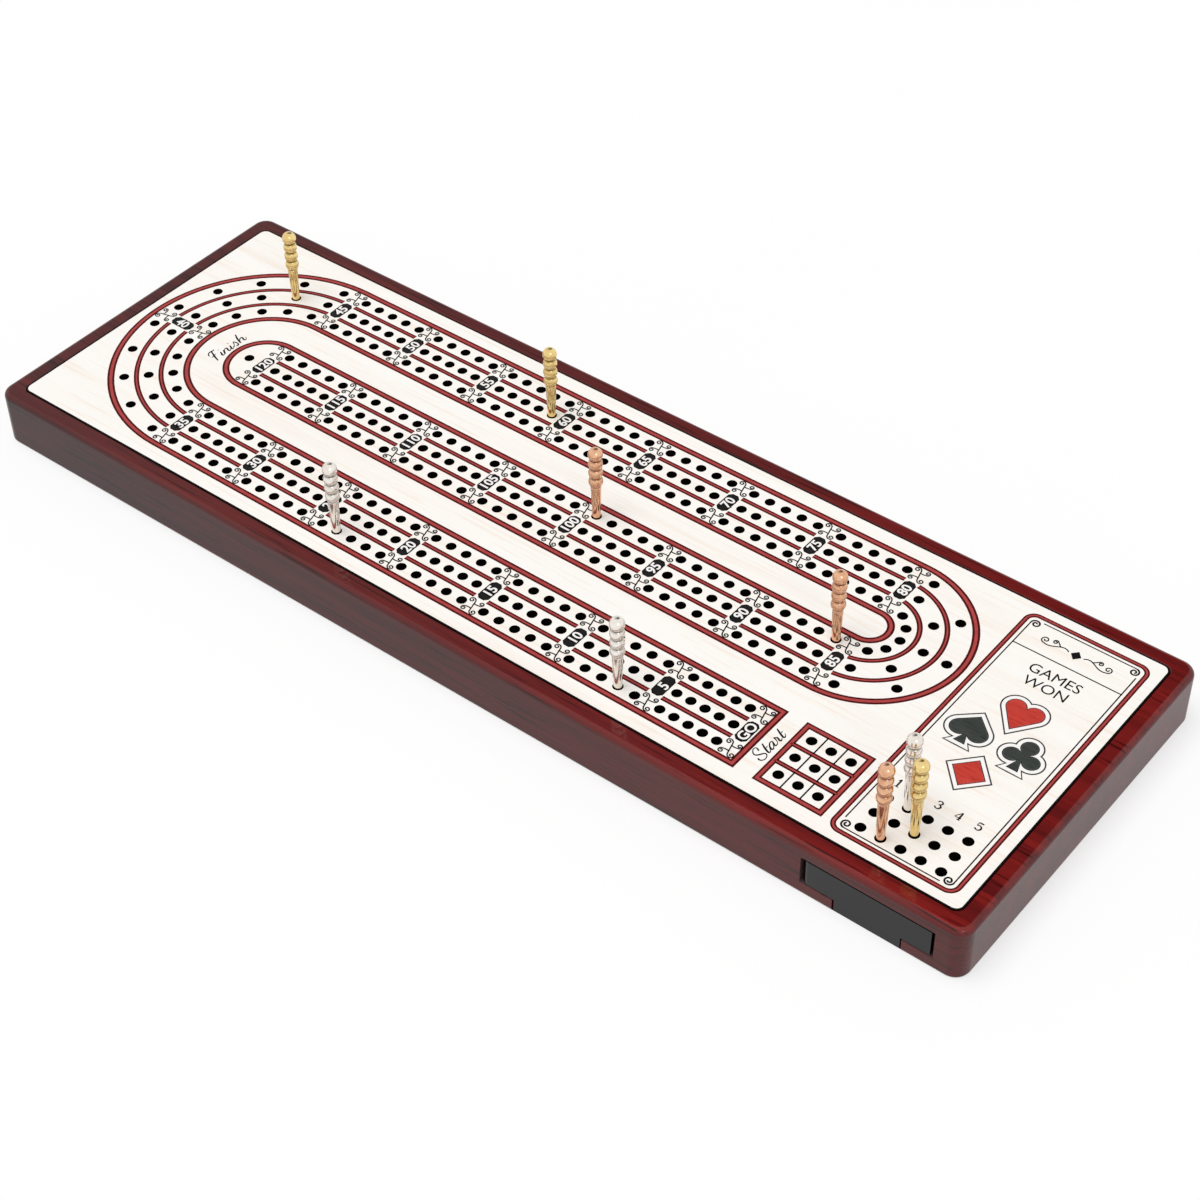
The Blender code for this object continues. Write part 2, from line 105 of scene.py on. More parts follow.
# Ink, as heights above the deck and widths
INK_ROOT = -0.05
INK_LOW = 0.03
INK_MIDDLE = 0.05
INK_HIGH = 0.07
INK_TOP = 0.09
BORDER_LINE = (2.3, 0.95)
LANE_LINE = (1.7, 0.5)
LANE_LINE_GAP = 2.45
HAIRLINE = 0.4
SCROLL_LINE = 0.42
DECK_LINE = 0.45

# Number plates
PLATE_HALF_LENGTH = 4.2
PLATE_HALF_HEIGHT = 2.05
PLATE_CORNER = 1.1
PLATE_RIM = 0.4
NUMERAL_HEIGHT = 3.1
NUMERAL_SWELL = 0.025
NUMERAL_EDGE_SWELL = 0.12

# Starting box
BOX = (109.15, 130.1, -49.6, -25.0)
BOX_LINE = (2.0, 0.9)
BOX_ROWS = (-33.35, -41.3)
BOX_ROW_LINE = (1.65, 0.5)
BOX_COLUMNS = (116.3, 122.9)
BOX_COLUMN_LINE = 0.48

# Games panel
CARD = (134.37, 173.57, -51.8, 51.6)
CARD_RADIUS = 3.0
CARD_LINE = (1.6, 0.6)
CARD_INNER = (136.3, 171.65, -50.05, 49.8)
CARD_BAND_Y = 38.2
CARD_CURL_RADIUS = 1.55
CARD_CURL_LINE = 0.55
CARD_CURL_GAP = 0.3
CARD_MIDDLE_X = 153.7

# Drawer
DRAWER_LOW, DRAWER_HIGH = node_box("drawer")
PIN_X, PIN_Y = (value / MM for value in frame["joints"][0]["pos_m"][:2])
BAY = (132.7, 175.0, 4.0, 14.0)
BAY_BACK_Y = -41.4
BAY_END_RADIUS = 0.7
BAY_EASE = 0.12
NOTCH = (143.3, 165.4)
NOTCH_BACK_Y = -57.8
PIN_BORE_RADIUS = 1.1
PIN_BORE_TOP = 16.6
DRAWER_BOTTOM = 4.3
DRAWER_WALL = 2.2
DRAWER_FLOOR = 2.0
DRAWER_REACH = 38.9
DRAWER_END_RADIUS = 1.9
DRAWER_EDGE = 0.3
DRAWER_FLAT_ANGLE = math.radians(0.3)
TAB = (143.8, 164.9)
TAB_DEPTH = 3.5
PIN_INSET = 2.2
PIN_BOSS_RADIUS = 2.6


# Outlines

def arc(x, y, radius, start, end, steps):
    """Points on a circle from one angle to another, in degrees."""
    angles = [math.radians(start + (end - start) * step / steps) for step in range(steps + 1)]
    return [(x + radius * math.cos(angle), y + radius * math.sin(angle)) for angle in angles]


def circle(x, y, radius, sides):
    return arc(x, y, radius, 0.0, 360.0, sides)[:-1]


def rounded_box(left, right, low, high, radius, steps=CORNER_STEPS):
    corners = arc(right - radius, high - radius, radius, 0.0, 90.0, steps)
    corners += arc(left + radius, high - radius, radius, 90.0, 180.0, steps)
    corners += arc(left + radius, low + radius, radius, 180.0, 270.0, steps)
    return corners + arc(right - radius, low + radius, radius, 270.0, 360.0, steps)


def box_outline(left, right, low, high):
    return [(left, low), (right, low), (right, high), (left, high)]


def board_outline(inset):
    """The slab from above, drawn in by an inset."""
    radius = max(CORNER_RADIUS - inset, POCKET_CORNER_RADIUS)
    x = HALF_LENGTH - inset
    y = HALF_WIDTH - inset
    return rounded_box(-x, x, -y, y, radius)


def deck_outline(inset):
    radius = DECK_CORNER_RADIUS - inset
    x = DECK_HIGH.x - inset
    y = DECK_HIGH.y - inset
    return rounded_box(-x, x, -y, y, radius)


def offset_path(path, distance, closed, longest_miter=1.6):
    """A line beside a path: to its right for a positive distance."""
    count = len(path)
    moved = []
    for index, (x, y) in enumerate(path):
        before = path[index - 1] if closed or index else path[0]
        after = path[(index + 1) % count] if closed or index + 1 < count else path[-1]
        arriving = Vector((x - before[0], y - before[1]))
        leaving = Vector((after[0] - x, after[1] - y))
        arriving = (arriving if arriving.length else leaving).normalized()
        leaving = (leaving if leaving.length else arriving).normalized()
        along = (arriving + leaving).normalized()
        miter = min(1.0 / max(along.dot(leaving), 0.1), longest_miter)
        moved.append((x + along.y * distance * miter, y - along.x * distance * miter))
    return moved


def placed(path, x, y, turn):
    """A path turned about its origin, in degrees, and moved."""
    c = math.cos(math.radians(turn))
    s = math.sin(math.radians(turn))
    return [(x + c * px - s * py, y + s * px + c * py) for px, py in path]


def bezier(start, first, second, end, steps):
    points = []
    for step in range(steps + 1):
        t = step / steps
        u = 1.0 - t
        weights = (u ** 3, 3 * u * u * t, 3 * u * t * t, t ** 3)
        corners = (start, first, second, end)
        points.append(tuple(sum(w * p[axis] for w, p in zip(weights, corners)) for axis in (0, 1)))
    return points


def curl(x, y, radius, start, turns, last_radius=0.2, steps=22):
    """A spiral that winds in to its middle. Positive turns run anticlockwise."""
    points = []
    for step in range(steps + 1):
        t = step / steps
        angle = math.radians(start + 360.0 * turns * t)
        reach = radius + (last_radius - radius) * t
        points.append((x + reach * math.cos(angle), y + reach * math.sin(angle)))
    return points


# Solids

def at_height(outline, z):
    return [(x, y, z) for x, y in outline]


def skin(mesh, rings, hollow=False):
    """Walls through rings of points, with end faces, or joined end to end for a hollow ring."""
    rows = [[mesh.verts.new(point) for point in ring] for ring in rings]
    pairs = list(zip(rows, rows[1:]))
    if hollow:
        pairs.append((rows[-1], rows[0]))
    for lower, upper in pairs:
        for index in range(len(lower)):
            after = (index + 1) % len(lower)
            mesh.faces.new((lower[index], lower[after], upper[after], upper[index]))
    if not hollow:
        mesh.faces.new(rows[0][::-1])
        mesh.faces.new(rows[-1])


def prism(mesh, outline, bottom, top):
    skin(mesh, [at_height(outline, bottom), at_height(outline, top)])


def washer(mesh, inner, outer, bottom, top):
    """A flat ring between two outlines."""
    rings = [at_height(inner, bottom), at_height(outer, bottom)]
    rings += [at_height(outer, top), at_height(inner, top)]
    skin(mesh, rings, hollow=True)


def band(mesh, path, width, top, closed=False):
    """A flat line of ink along a path."""
    right = offset_path(path, width / 2, closed)
    left = offset_path(path, -width / 2, closed)
    if closed:
        washer(mesh, left, right, TOP + INK_ROOT, TOP + top)
        return
    sections = []
    for (rx, ry), (lx, ly) in zip(right, left):
        low, high = TOP + INK_ROOT, TOP + top
        sections.append([(rx, ry, low), (rx, ry, high), (lx, ly, high), (lx, ly, low)])
    skin(mesh, sections)


def smoothed(points, steps=5):
    """A smooth run through a pen stroke's points: each is along, up and width."""
    ends = [points[0]] + list(points) + [points[-1]]
    run = []
    for a, b, c, d in zip(ends, ends[1:], ends[2:], ends[3:]):
        for step in range(steps):
            t = step / steps
            weights = (
                0.5 * (-t + 2 * t * t - t ** 3),
                0.5 * (2 - 5 * t * t + 3 * t ** 3),
                0.5 * (t + 4 * t * t - 3 * t ** 3),
                0.5 * (t ** 3 - t * t),
            )
            run.append(tuple(sum(w * p[axis] for w, p in zip(weights, (a, b, c, d))) for axis in range(3)))
    return run + [tuple(points[-1])]


def pen_stroke(mesh, points, place, top):
    """A line of ink whose width changes along it, drawn at place: x, y and turn in degrees."""
    run = smoothed(points)
    path = placed([(along, up) for along, up, width in run], *place)
    low, high = TOP + INK_ROOT, TOP + top
    right = offset_path(path, 1.0, False, 1.0)
    sections = []
    for (x, y), (rx, ry), (along, up, width) in zip(path, right, run):
        sx, sy = (rx - x) * width / 2, (ry - y) * width / 2
        sections.append([
            (x + sx, y + sy, low), (x + sx, y + sy, high), (x - sx, y - sy, high), (x - sx, y - sy, low),
        ])
    skin(mesh, sections)


FONT_CAPITAL = 0.69


def lettering(mesh, text, height, place, top, swell=0.0):
    """Solid letters in Blender's own font, their middle at place: x, y and turn in degrees."""
    curve = bpy.data.curves.new("letters", "FONT")
    curve.body = text
    curve.align_x = "CENTER"
    curve.offset = swell
    curve.extrude = 0.5
    curve.resolution_u = 4
    holder = bpy.data.objects.new("letters", curve)
    letters = bpy.data.meshes.new_from_object(holder)
    x, y, turn = place
    size = height / FONT_CAPITAL
    thickness = top - INK_ROOT
    shape = Matrix.Translation((x, y, TOP + (top + INK_ROOT) / 2))
    shape @= Matrix.Rotation(math.radians(turn), 4, "Z")
    shape @= Matrix.Diagonal((size, size, thickness, 1.0))
    shape @= Matrix.Translation((0.0, -FONT_CAPITAL / 2, 0.0))
    letters.transform(shape)
    mesh.from_mesh(letters)
    bpy.data.meshes.remove(letters)
    bpy.data.objects.remove(holder)
    bpy.data.curves.remove(curve)


def loose_object(name, mesh):
    bmesh.ops.recalc_face_normals(mesh, faces=mesh.faces)
    data = bpy.data.meshes.new(name)
    mesh.to_mesh(data)
    mesh.free()
    made = bpy.data.objects.new(name, data)
    bpy.context.scene.collection.objects.link(made)
    return made


def combined(mesh, steps):
    """The solid after each Boolean step: an operation and its tool."""
    solid = loose_object("solid", mesh)
    tools = []
    for operation, tool in steps:
        tools.append(loose_object("tool", tool))
        cut = solid.modifiers.new(operation, "BOOLEAN")
        cut.operation = operation
        cut.solver = "MANIFOLD"
        cut.object = tools[-1]
    graph = bpy.context.evaluated_depsgraph_get()
    data = bpy.data.meshes.new_from_object(solid.evaluated_get(graph))
    result = bmesh.new()
    result.from_mesh(data)
    bpy.data.meshes.remove(data)
    for spent in [solid] + tools:
        bpy.data.meshes.remove(spent.data)
    return result


SMOOTH_ANGLE = math.radians(32.0)
JOIN_DISTANCE = 0.0005


def add_piece(name, mesh, finishes, body="board", replaces=(), edge=0.0):
    """Makes a mesh in millimetres into a piece that rides on a body."""
    bmesh.ops.remove_doubles(mesh, verts=mesh.verts, dist=JOIN_DISTANCE)
    bmesh.ops.scale(mesh, vec=(MM, MM, MM), verts=mesh.verts)
    piece = loose_object(name, mesh)
    for finish in finishes:
        piece.data.materials.append(finish)
    piece.data.shade_smooth()
    piece.data.set_sharp_from_angle(angle=SMOOTH_ANGLE)
    if edge:
        eased = piece.modifiers.new("eased_edges", "BEVEL")
        eased.width = edge * MM
        eased.segments = 3
        eased.limit_method = "ANGLE"
        eased.angle_limit = SMOOTH_ANGLE
        eased.harden_normals = True
    else:
        flat = piece.modifiers.new("flat_faces", "WEIGHTED_NORMAL")
        flat.keep_sharp = True
    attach(piece, body)
    if replaces:
        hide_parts(*replaces)
    return piece


def mark_painted_shade(piece, depth):
    """Marks each point's share of painted shade, from its place in millimetres, for the finish to darken."""
    marks = piece.data.attributes.new(PAINTED_SHADE_MARK, "FLOAT", "POINT")
    for mark, point in zip(marks.data, piece.data.vertices):
        mark.value = min(max(depth(point.co / MM), 0.0), 1.0)


# Finishes

def colour(code):
    """A colour from its six-digit screen code."""
    shares = [int(code[index:index + 2], 16) / 255 for index in (0, 2, 4)]
    linear = [s / 12.92 if s <= 0.04045 else ((s + 0.055) / 1.055) ** 2.4 for s in shares]
    return (*linear, 1.0)


def add_node(tree, kind, inputs=None, **settings):
    """A node with its settings, and each input set or linked."""
    made = tree.nodes.new(kind)
    for name, value in settings.items():
        setattr(made, name, value)
    for socket, value in (inputs or {}).items():
        if isinstance(value, bpy.types.NodeSocket):
            tree.links.new(value, made.inputs[socket])
        else:
            made.inputs[socket].default_value = value
    return made


def ramp(tree, value, stops):
    """Colours along a value, from pairs of position and colour code."""
    made = add_node(tree, "ShaderNodeValToRGB", {"Fac": value})
    elements = made.color_ramp.elements
    while len(elements) < len(stops):
        elements.new(1.0)
    for element, (position, code) in zip(elements, stops):
        element.position = position
        element.color = colour(code)
    return made.outputs["Color"]


def spread(tree, value, low, high):
    """A value from 0 to 1 spread between two others."""
    inputs = {"Value": value, "To Min": low, "To Max": high}
    return add_node(tree, "ShaderNodeMapRange", inputs).outputs["Result"]


def mixed(tree, share, base, other, blend="MIX"):
    """Two colours mixed, with a share of the second."""
    inputs = {0: share, 6: base, 7: other}
    return add_node(tree, "ShaderNodeMix", inputs, data_type="RGBA", blend_type=blend).outputs[2]


def darkened(tree, base, mask, code):
    """A colour with another multiplied in where a mask is high."""
    return mixed(tree, mask, base, colour(code), "MULTIPLY")


def worked_out(tree, operation, first, second):
    """The result of a sum on two values."""
    return add_node(tree, "ShaderNodeMath", {0: first, 1: second}, operation=operation).outputs["Value"]


def object_place(tree):
    return add_node(tree, "ShaderNodeTexCoord").outputs["Object"]


def one_axis(tree, vector, axis):
    return add_node(tree, "ShaderNodeSeparateXYZ", {"Vector": vector}).outputs[axis]


def new_group(name, inputs, outputs):
    """A shader node group with value sockets, and the nodes for its ends."""
    group = bpy.data.node_groups.new(name, "ShaderNodeTree")
    for socket in inputs:
        group.interface.new_socket(socket, in_out="INPUT", socket_type="NodeSocketFloat")
    for socket in outputs:
        group.interface.new_socket(socket, in_out="OUTPUT", socket_type="NodeSocketFloat")
    start = group.nodes.new("NodeGroupInput")
    end = group.nodes.new("NodeGroupOutput")
    return group, start.outputs, end.inputs


def stretched_place(group, along, across):
    """Object coordinates scaled along and across the grain."""
    scale = add_node(group, "ShaderNodeCombineXYZ", {"X": along, "Y": across, "Z": across})
    inputs = {0: object_place(group), 1: scale.outputs["Vector"]}
    return add_node(group, "ShaderNodeVectorMath", inputs, operation="MULTIPLY").outputs["Vector"]


def make_wood_grain():
    """Broad streaks along the board, and short fine pores."""
    group, given, wanted = new_group("wood_grain", ("Along", "Across"), ("Streak", "Pore"))
    place = stretched_place(group, given["Along"], given["Across"])
    look = {"Vector": place, "Scale": 1.0, "Detail": 7.0, "Roughness": 0.62, "Distortion": 0.5}
    streak = add_node(group, "ShaderNodeTexNoise", look)
    group.links.new(streak.outputs["Fac"], wanted["Streak"])
    look = {"Vector": place, "Scale": 6.0, "Detail": 2.0, "Roughness": 0.5}
    fine = add_node(group, "ShaderNodeTexNoise", look)
    limits = {"Value": fine.outputs["Fac"], "From Min": 0.56, "From Max": 0.72}
    pore = add_node(group, "ShaderNodeMapRange", limits)
    group.links.new(pore.outputs["Result"], wanted["Pore"])
    return group


def make_handling():
    """Soft cloudy marks left by polish and hands."""
    group, given, wanted = new_group("handling", ("Size",), ("Cloud",))
    place = stretched_place(group, given["Size"], given["Size"])
    look = {"Vector": place, "Scale": 1.0, "Detail": 4.0, "Roughness": 0.6}
    cloud = add_node(group, "ShaderNodeTexNoise", look)
    group.links.new(cloud.outputs["Fac"], wanted["Cloud"])
    return group


def make_turning_lines():
    """Fine rings left by a lathe tool round an upright piece."""
    group, given, wanted = new_group("turning_lines", ("Rings",), ("Ring",))
    height = one_axis(group, object_place(group), "Z")
    scaled = worked_out(group, "MULTIPLY", height, given["Rings"])
    look = {"W": scaled, "Scale": 1.0, "Detail": 3.0}
    ring = add_node(group, "ShaderNodeTexNoise", look, noise_dimensions="1D")
    group.links.new(ring.outputs["Fac"], wanted["Ring"])
    return group


def make_lengthways():
    """How far along the board from its games end, as a share of its length."""
    group, _, wanted = new_group("lengthways", (), ("Far",))
    along = one_axis(group, object_place(group), "X")
    limits = {"Value": along, "From Min": HALF_LENGTH * MM, "From Max": -HALF_LENGTH * MM}
    share = add_node(group, "ShaderNodeMapRange", limits)
    group.links.new(share.outputs["Result"], wanted["Far"])
    return group


WOOD_GRAIN = make_wood_grain()
HANDLING = make_handling()
LENGTHWAYS = make_lengthways()
TURNING_LINES = make_turning_lines()


def new_finish(name, **plain):
    """A material, its node tree and its shader, with the shader's plain sockets set."""
    finish = bpy.data.materials.new(name)
    finish.use_nodes = True
    tree = finish.node_tree
    shader = tree.nodes["Principled BSDF"]
    for socket, value in plain.items():
        shader.inputs[socket.replace("_", " ")].default_value = value
    return finish, tree, shader


def use_group(tree, group, inputs):
    made = add_node(tree, "ShaderNodeGroup", node_tree=group)
    for socket, value in inputs.items():
        made.inputs[socket].default_value = value
    return made.outputs


def bump(tree, shader, height, strength, distance):
    inputs = {"Height": height, "Strength": strength, "Distance": distance * MM}
    made = add_node(tree, "ShaderNodeBump", inputs)
    tree.links.new(made.outputs["Normal"], shader.inputs["Normal"])


PAINTED_SHADE_MARK = "painted_shade"
POLISH_SIZE = 90.0
INK_CLOUD_SIZE = 420.0
METAL_CLOUD_SIZE = 500.0
LATHE_RINGS = 5200.0
GRAIN_DEPTH = 0.05
RING_DEPTH = 0.02


def painted_shade_mask(tree):
    """Where a piece marks painted shade, in its grooves or on its rim."""
    return add_node(tree, "ShaderNodeAttribute", attribute_name=PAINTED_SHADE_MARK).outputs["Fac"]


def wood_finish(name, stops, pore, grain, roughness, relief, far_end_shade=None, rim_shade=None, **plain):
    """Wood with streaks, pores and cloudy polish; where asked, painted shade darkens it towards the far end
    and on a marked rim. grain holds its scale along and across.
    """
    finish, tree, shader = new_finish(name, **plain)
    wood = use_group(tree, WOOD_GRAIN, {"Along": grain[0], "Across": grain[1]})
    base = darkened(tree, ramp(tree, wood["Streak"], stops), wood["Pore"], pore)
    # Painted shade: darker towards the board's far end.
    if far_end_shade:
        base = darkened(tree, base, use_group(tree, LENGTHWAYS, {})["Far"], far_end_shade)
    # Painted shade on the rim that the piece marks.
    if rim_shade:
        base = darkened(tree, base, painted_shade_mask(tree), rim_shade)
    tree.links.new(base, shader.inputs["Base Color"])
    cloud = use_group(tree, HANDLING, {"Size": POLISH_SIZE})["Cloud"]
    tree.links.new(spread(tree, cloud, *roughness), shader.inputs["Roughness"])
    bump(tree, shader, wood["Streak"], relief, GRAIN_DEPTH)
    return finish


def ink_finish(name, thin, thick):
    """Printed ink that lies a little thinner in places."""
    finish, tree, shader = new_finish(name, Specular_IOR_Level=0.1)
    cloud = use_group(tree, HANDLING, {"Size": INK_CLOUD_SIZE})["Cloud"]
    base = ramp(tree, cloud, ((0.3, thin), (0.65, thick)))
    tree.links.new(base, shader.inputs["Base Color"])
    tree.links.new(spread(tree, cloud, 0.34, 0.52), shader.inputs["Roughness"])
    return finish


def metal_finish(name, dark, light, groove_shade, roughness):
    """Polished turned metal with fine rings, with painted shade in the grooves that a piece marks."""
    finish, tree, shader = new_finish(name, Metallic=1.0)
    ring = use_group(tree, TURNING_LINES, {"Rings": LATHE_RINGS})["Ring"]
    cloud = use_group(tree, HANDLING, {"Size": METAL_CLOUD_SIZE})["Cloud"]
    base = ramp(tree, cloud, ((0.25, dark), (0.7, light)))
    # Painted shade in the marked grooves.
    base = darkened(tree, base, painted_shade_mask(tree), groove_shade)
    tree.links.new(base, shader.inputs["Base Color"])
    tree.links.new(spread(tree, ring, *roughness), shader.inputs["Roughness"])
    bump(tree, shader, ring, 0.12, RING_DEPTH)
    return finish


# The red lacquer carries painted shade towards the far end.
RED_LACQUER = wood_finish(
    "red_lacquer", ((0.3, "541112"), (0.5, "701817"), (0.72, "861F1B")), "8A6A64",
    (7.0, 190.0), (0.3, 0.45), 0.04, far_end_shade="B8F4FF",
    Coat_Weight=0.72, Coat_Roughness=0.07, Coat_IOR=1.5, Specular_IOR_Level=0.0,
)
MAPLE = wood_finish(
    "maple", ((0.3, "FBF3EA"), (0.48, "FEFAF4"), (0.7, "FFFDFA")), "FCF4EE",
    (6.0, 150.0), (0.4, 0.5), 0.015,
    Specular_IOR_Level=0.1,
)
BLACK_LACQUER = wood_finish(
    "black_lacquer", ((0.3, "0E0E10"), (0.6, "161618")), "909090",
    (9.0, 260.0), (0.3, 0.42), 0.03,
    Coat_Weight=0.75, Coat_Roughness=0.1, Coat_IOR=1.5, Specular_IOR_Level=0.0,
)
HOLE_WALL = wood_finish(
    "hole_wall", ((0.3, "0C0908"), (0.7, "1C1512")), "808080",
    (200.0, 900.0), (0.7, 0.85), 0.1,
    Specular_IOR_Level=0.0,
)
# Painted light: a lighter mauve-grey that lifts the shaded bay and copies the lacquer's reflected grey.
BAY_PAINTED_LIGHT = wood_finish(
    "bay_painted_light", ((0.3, "5A4244"), (0.7, "6A5052")), "909090",
    (60.0, 420.0), (0.6, 0.75), 0.08,
    Specular_IOR_Level=0.0,
)
# The inlays' rims carry painted shade.
RED_INLAY = wood_finish(
    "red_inlay_wood", ((0.3, "C03A30"), (0.7, "D0463B")), "D8B0A8",
    (40.0, 420.0), (0.28, 0.4), 0.05, rim_shade="808080",
    Coat_Weight=0.6, Coat_Roughness=0.12, Specular_IOR_Level=0.1,
)
BLACK_INLAY = wood_finish(
    "black_inlay_wood", ((0.3, "343936"), (0.7, "424744")), "A8A8A8",
    (40.0, 420.0), (0.28, 0.4), 0.05, rim_shade="808080",
    Coat_Weight=0.6, Coat_Roughness=0.12, Specular_IOR_Level=0.1,
)
RED_EDGE_INK = ink_finish("red_edge_ink", "540E11", "460A0D")
RED_CORE_INK = ink_finish("red_core_ink", "B64C4A", "A64240")
BLACK_INK = ink_finish("black_ink", "161314", "0A0809")
PLATE_INK = ink_finish("plate_ink", "222121", "161515")
WHITE_INK = ink_finish("white_ink", "FEFDFB", "F8F5F2")
GREY_INK = ink_finish("grey_ink", "4E4A49", "3E3B3A")
# The third colour of each metal is painted shade for its grooves.
SILVER = metal_finish("silver_metal", "E2DACF", "F6F1EA", "4E4844", (0.14, 0.24))
BRASS = metal_finish("brass_metal", "DDBB74", "F2DA9A", "4A3614", (0.14, 0.24))
COPPER = metal_finish("copper_metal", "D89C74", "F0C2A0", "4A2412", (0.14, 0.24))
STEEL = metal_finish("pin_steel", "8E8C8A", "A8A6A4", "808080", (0.25, 0.4))


# Slab, with a pocket for the deck and a bay for the drawer

def rounded_over(radius, steps=ROUNDING_STEPS):
    """Inset and drop from the edge's side to its face, over a quarter round."""
    angles = [math.radians(90.0 * step / steps) for step in range(steps + 1)]
    return [(radius * (1 - math.cos(a)), radius * (1 - math.sin(a))) for a in angles]


def upright(elevation, y):
    """An outline of X and Z, stood up at one depth."""
    return [(x, y, z) for x, z in elevation]


def round_left_end(left, right, low, high, radius):
    """The drawer or its bay from the front, round at the pin's end."""
    corners = arc(left + radius, low + radius, radius, 180.0, 270.0, CORNER_STEPS)
    corners += [(right, low), (right, high)]
    return corners + arc(left + radius, high - radius, radius, 90.0, 180.0, CORNER_STEPS)


def bay_tool():
    mesh = bmesh.new()
    left, right, low, high = BAY
    rings = []
    mouth = -HALF_WIDTH + BAY_EASE
    for y, grow in ((BAY_BACK_Y, 0.0), (mouth, 0.0), (-HALF_WIDTH - CUT_MARGIN, BAY_EASE + CUT_MARGIN)):
        sides = (left - grow, right + grow, low - grow, high + grow)
        rings.append(upright(round_left_end(*sides, BAY_END_RADIUS + grow), y))
    skin(mesh, rings)
    return mesh


def prism_tool(outline, bottom, top):
    mesh = bmesh.new()
    prism(mesh, outline, bottom, top)
    return mesh


def pin_tool():
    return prism_tool(circle(PIN_X, PIN_Y, PIN_BORE_RADIUS, HOLE_SIDES), -CUT_MARGIN, PIN_BORE_TOP)


def make_slab():
    mesh = bmesh.new()
    rings = [at_height(board_outline(i), drop) for i, drop in reversed(rounded_over(BOTTOM_ROUNDING))]
    rings += [at_height(board_outline(i), TOP - drop) for i, drop in rounded_over(TOP_ROUNDING)]
    rings.append(at_height(board_outline(BORDER_WIDTH - POCKET_EASE), TOP))
    rings.append(at_height(board_outline(BORDER_WIDTH), TOP - POCKET_EASE))
    rings.append(at_height(board_outline(BORDER_WIDTH), POCKET_FLOOR))
    skin(mesh, rings)
    notch = box_outline(*NOTCH, -HALF_WIDTH - CUT_MARGIN, NOTCH_BACK_Y)
    tools = (bay_tool(), prism_tool(notch, -CUT_MARGIN, BAY[2] + CUT_MARGIN), pin_tool())
    mesh = combined(mesh, [("DIFFERENCE", tool) for tool in tools])
    left, right, low, high = BAY
    for face in mesh.faces:
        middle = face.calc_center_median()
        across = left - FLAT < middle.x < right + FLAT and -HALF_WIDTH + FLAT < middle.y < BAY_BACK_Y + FLAT
        if across and low - FLAT < middle.z < high + FLAT:
            face.material_index = 1
    add_piece("slab", mesh, [RED_LACQUER, BAY_PAINTED_LIGHT], replaces=["base"])


# Card suits

INLAYS = {suit: node_box("inlay_" + suit) for suit in ("heart", "diamond", "spade", "club")}
INLAY_FIT = 0.1
INLAY_ROUNDING = 0.5
INLAY_RIM_SHADE_DEPTH = 0.25
SUIT_BAND = 1.4
SUIT_LINE = 0.45
LOBE_RADIUS = 3.0
LOBE_X = 2.9
HEART_LOBE_Y = 2.5
HEART_TIP_Y = -6.2
SPADE_LOBE_Y = -0.6
SPADE_TIP_Y = 6.0
CLUB_LOBE_RADIUS = 2.6
CLUB_LOBE_X = 3.05
CLUB_LOBE_Y = -0.8
CLUB_TOP_Y = 3.8
STEM_TOP_HALF = 0.6
STEM_FOOT_HALF = 1.7
STEM_FOOT_Y = -5.8
DIAMOND_HALF = (5.3, 5.7)
LOBE_STEPS = 28


def both_halves(right_half):
    """An outline from its right half, which starts and may end on the middle line."""
    left_half = [(-x, y) for x, y in reversed(right_half) if x > FLAT]
    return right_half + left_half


def tip_slope(lobe_y, tip_y):
    """Half the angle at a tip whose straight sides touch the lobes."""
    away = math.hypot(LOBE_X, tip_y - lobe_y)
    return math.atan2(LOBE_X, abs(tip_y - lobe_y)) + math.asin(LOBE_RADIUS / away)


def stem(outset):
    """Right half of a stem's foot, and the half width at its top."""
    foot = (STEM_FOOT_HALF + 1.75 * outset, STEM_FOOT_Y - 1.07 * outset)
    return [(0.0, foot[1]), foot], STEM_TOP_HALF + 1.3 * outset


def heart(outset):
    radius = LOBE_RADIUS + outset
    slope = tip_slope(HEART_LOBE_Y, HEART_TIP_Y)
    tip = HEART_TIP_Y - outset / math.sin(slope)
    notch = 180.0 - math.degrees(math.acos(LOBE_X / radius))
    lobe = arc(LOBE_X, HEART_LOBE_Y, radius, -math.degrees(slope), notch, LOBE_STEPS)
    return both_halves([(0.0, tip)] + lobe[:-1] + [(0.0, lobe[-1][1])])


def spade(outset):
    radius = LOBE_RADIUS + outset
    foot, stem_top = stem(outset)
    slope = tip_slope(SPADE_LOBE_Y, SPADE_TIP_Y)
    tip = SPADE_TIP_Y + outset / math.sin(slope)
    start = -180.0 + math.degrees(math.acos((LOBE_X - stem_top) / radius))
    lobe = arc(LOBE_X, SPADE_LOBE_Y, radius, start, math.degrees(slope), LOBE_STEPS)
    return both_halves(foot + lobe + [(0.0, tip)])


def club(outset):
    radius = CLUB_LOBE_RADIUS + outset
    foot, stem_top = stem(outset)
    rise = CLUB_TOP_Y - CLUB_LOBE_Y
    to_top = math.degrees(math.atan2(rise, -CLUB_LOBE_X))
    half_gap = math.hypot(CLUB_LOBE_X, rise) / 2
    notch = math.degrees(math.acos(min(1.0, half_gap / radius)))
    start = -180.0 + math.degrees(math.acos((CLUB_LOBE_X - stem_top) / radius))
    side = arc(CLUB_LOBE_X, CLUB_LOBE_Y, radius, start, to_top - notch, LOBE_STEPS)
    top = arc(0.0, CLUB_TOP_Y, radius, to_top - 180.0 + notch, 90.0, LOBE_STEPS // 2)
    return both_halves(foot + side + top[1:-1] + [(0.0, CLUB_TOP_Y + radius)])


def diamond(outset):
    width, height = DIAMOND_HALF
    growth = 1.0 + outset * math.hypot(width, height) / (width * height)
    return both_halves([(0.0, -height * growth), (width * growth, 0.0), (0.0, height * growth)])


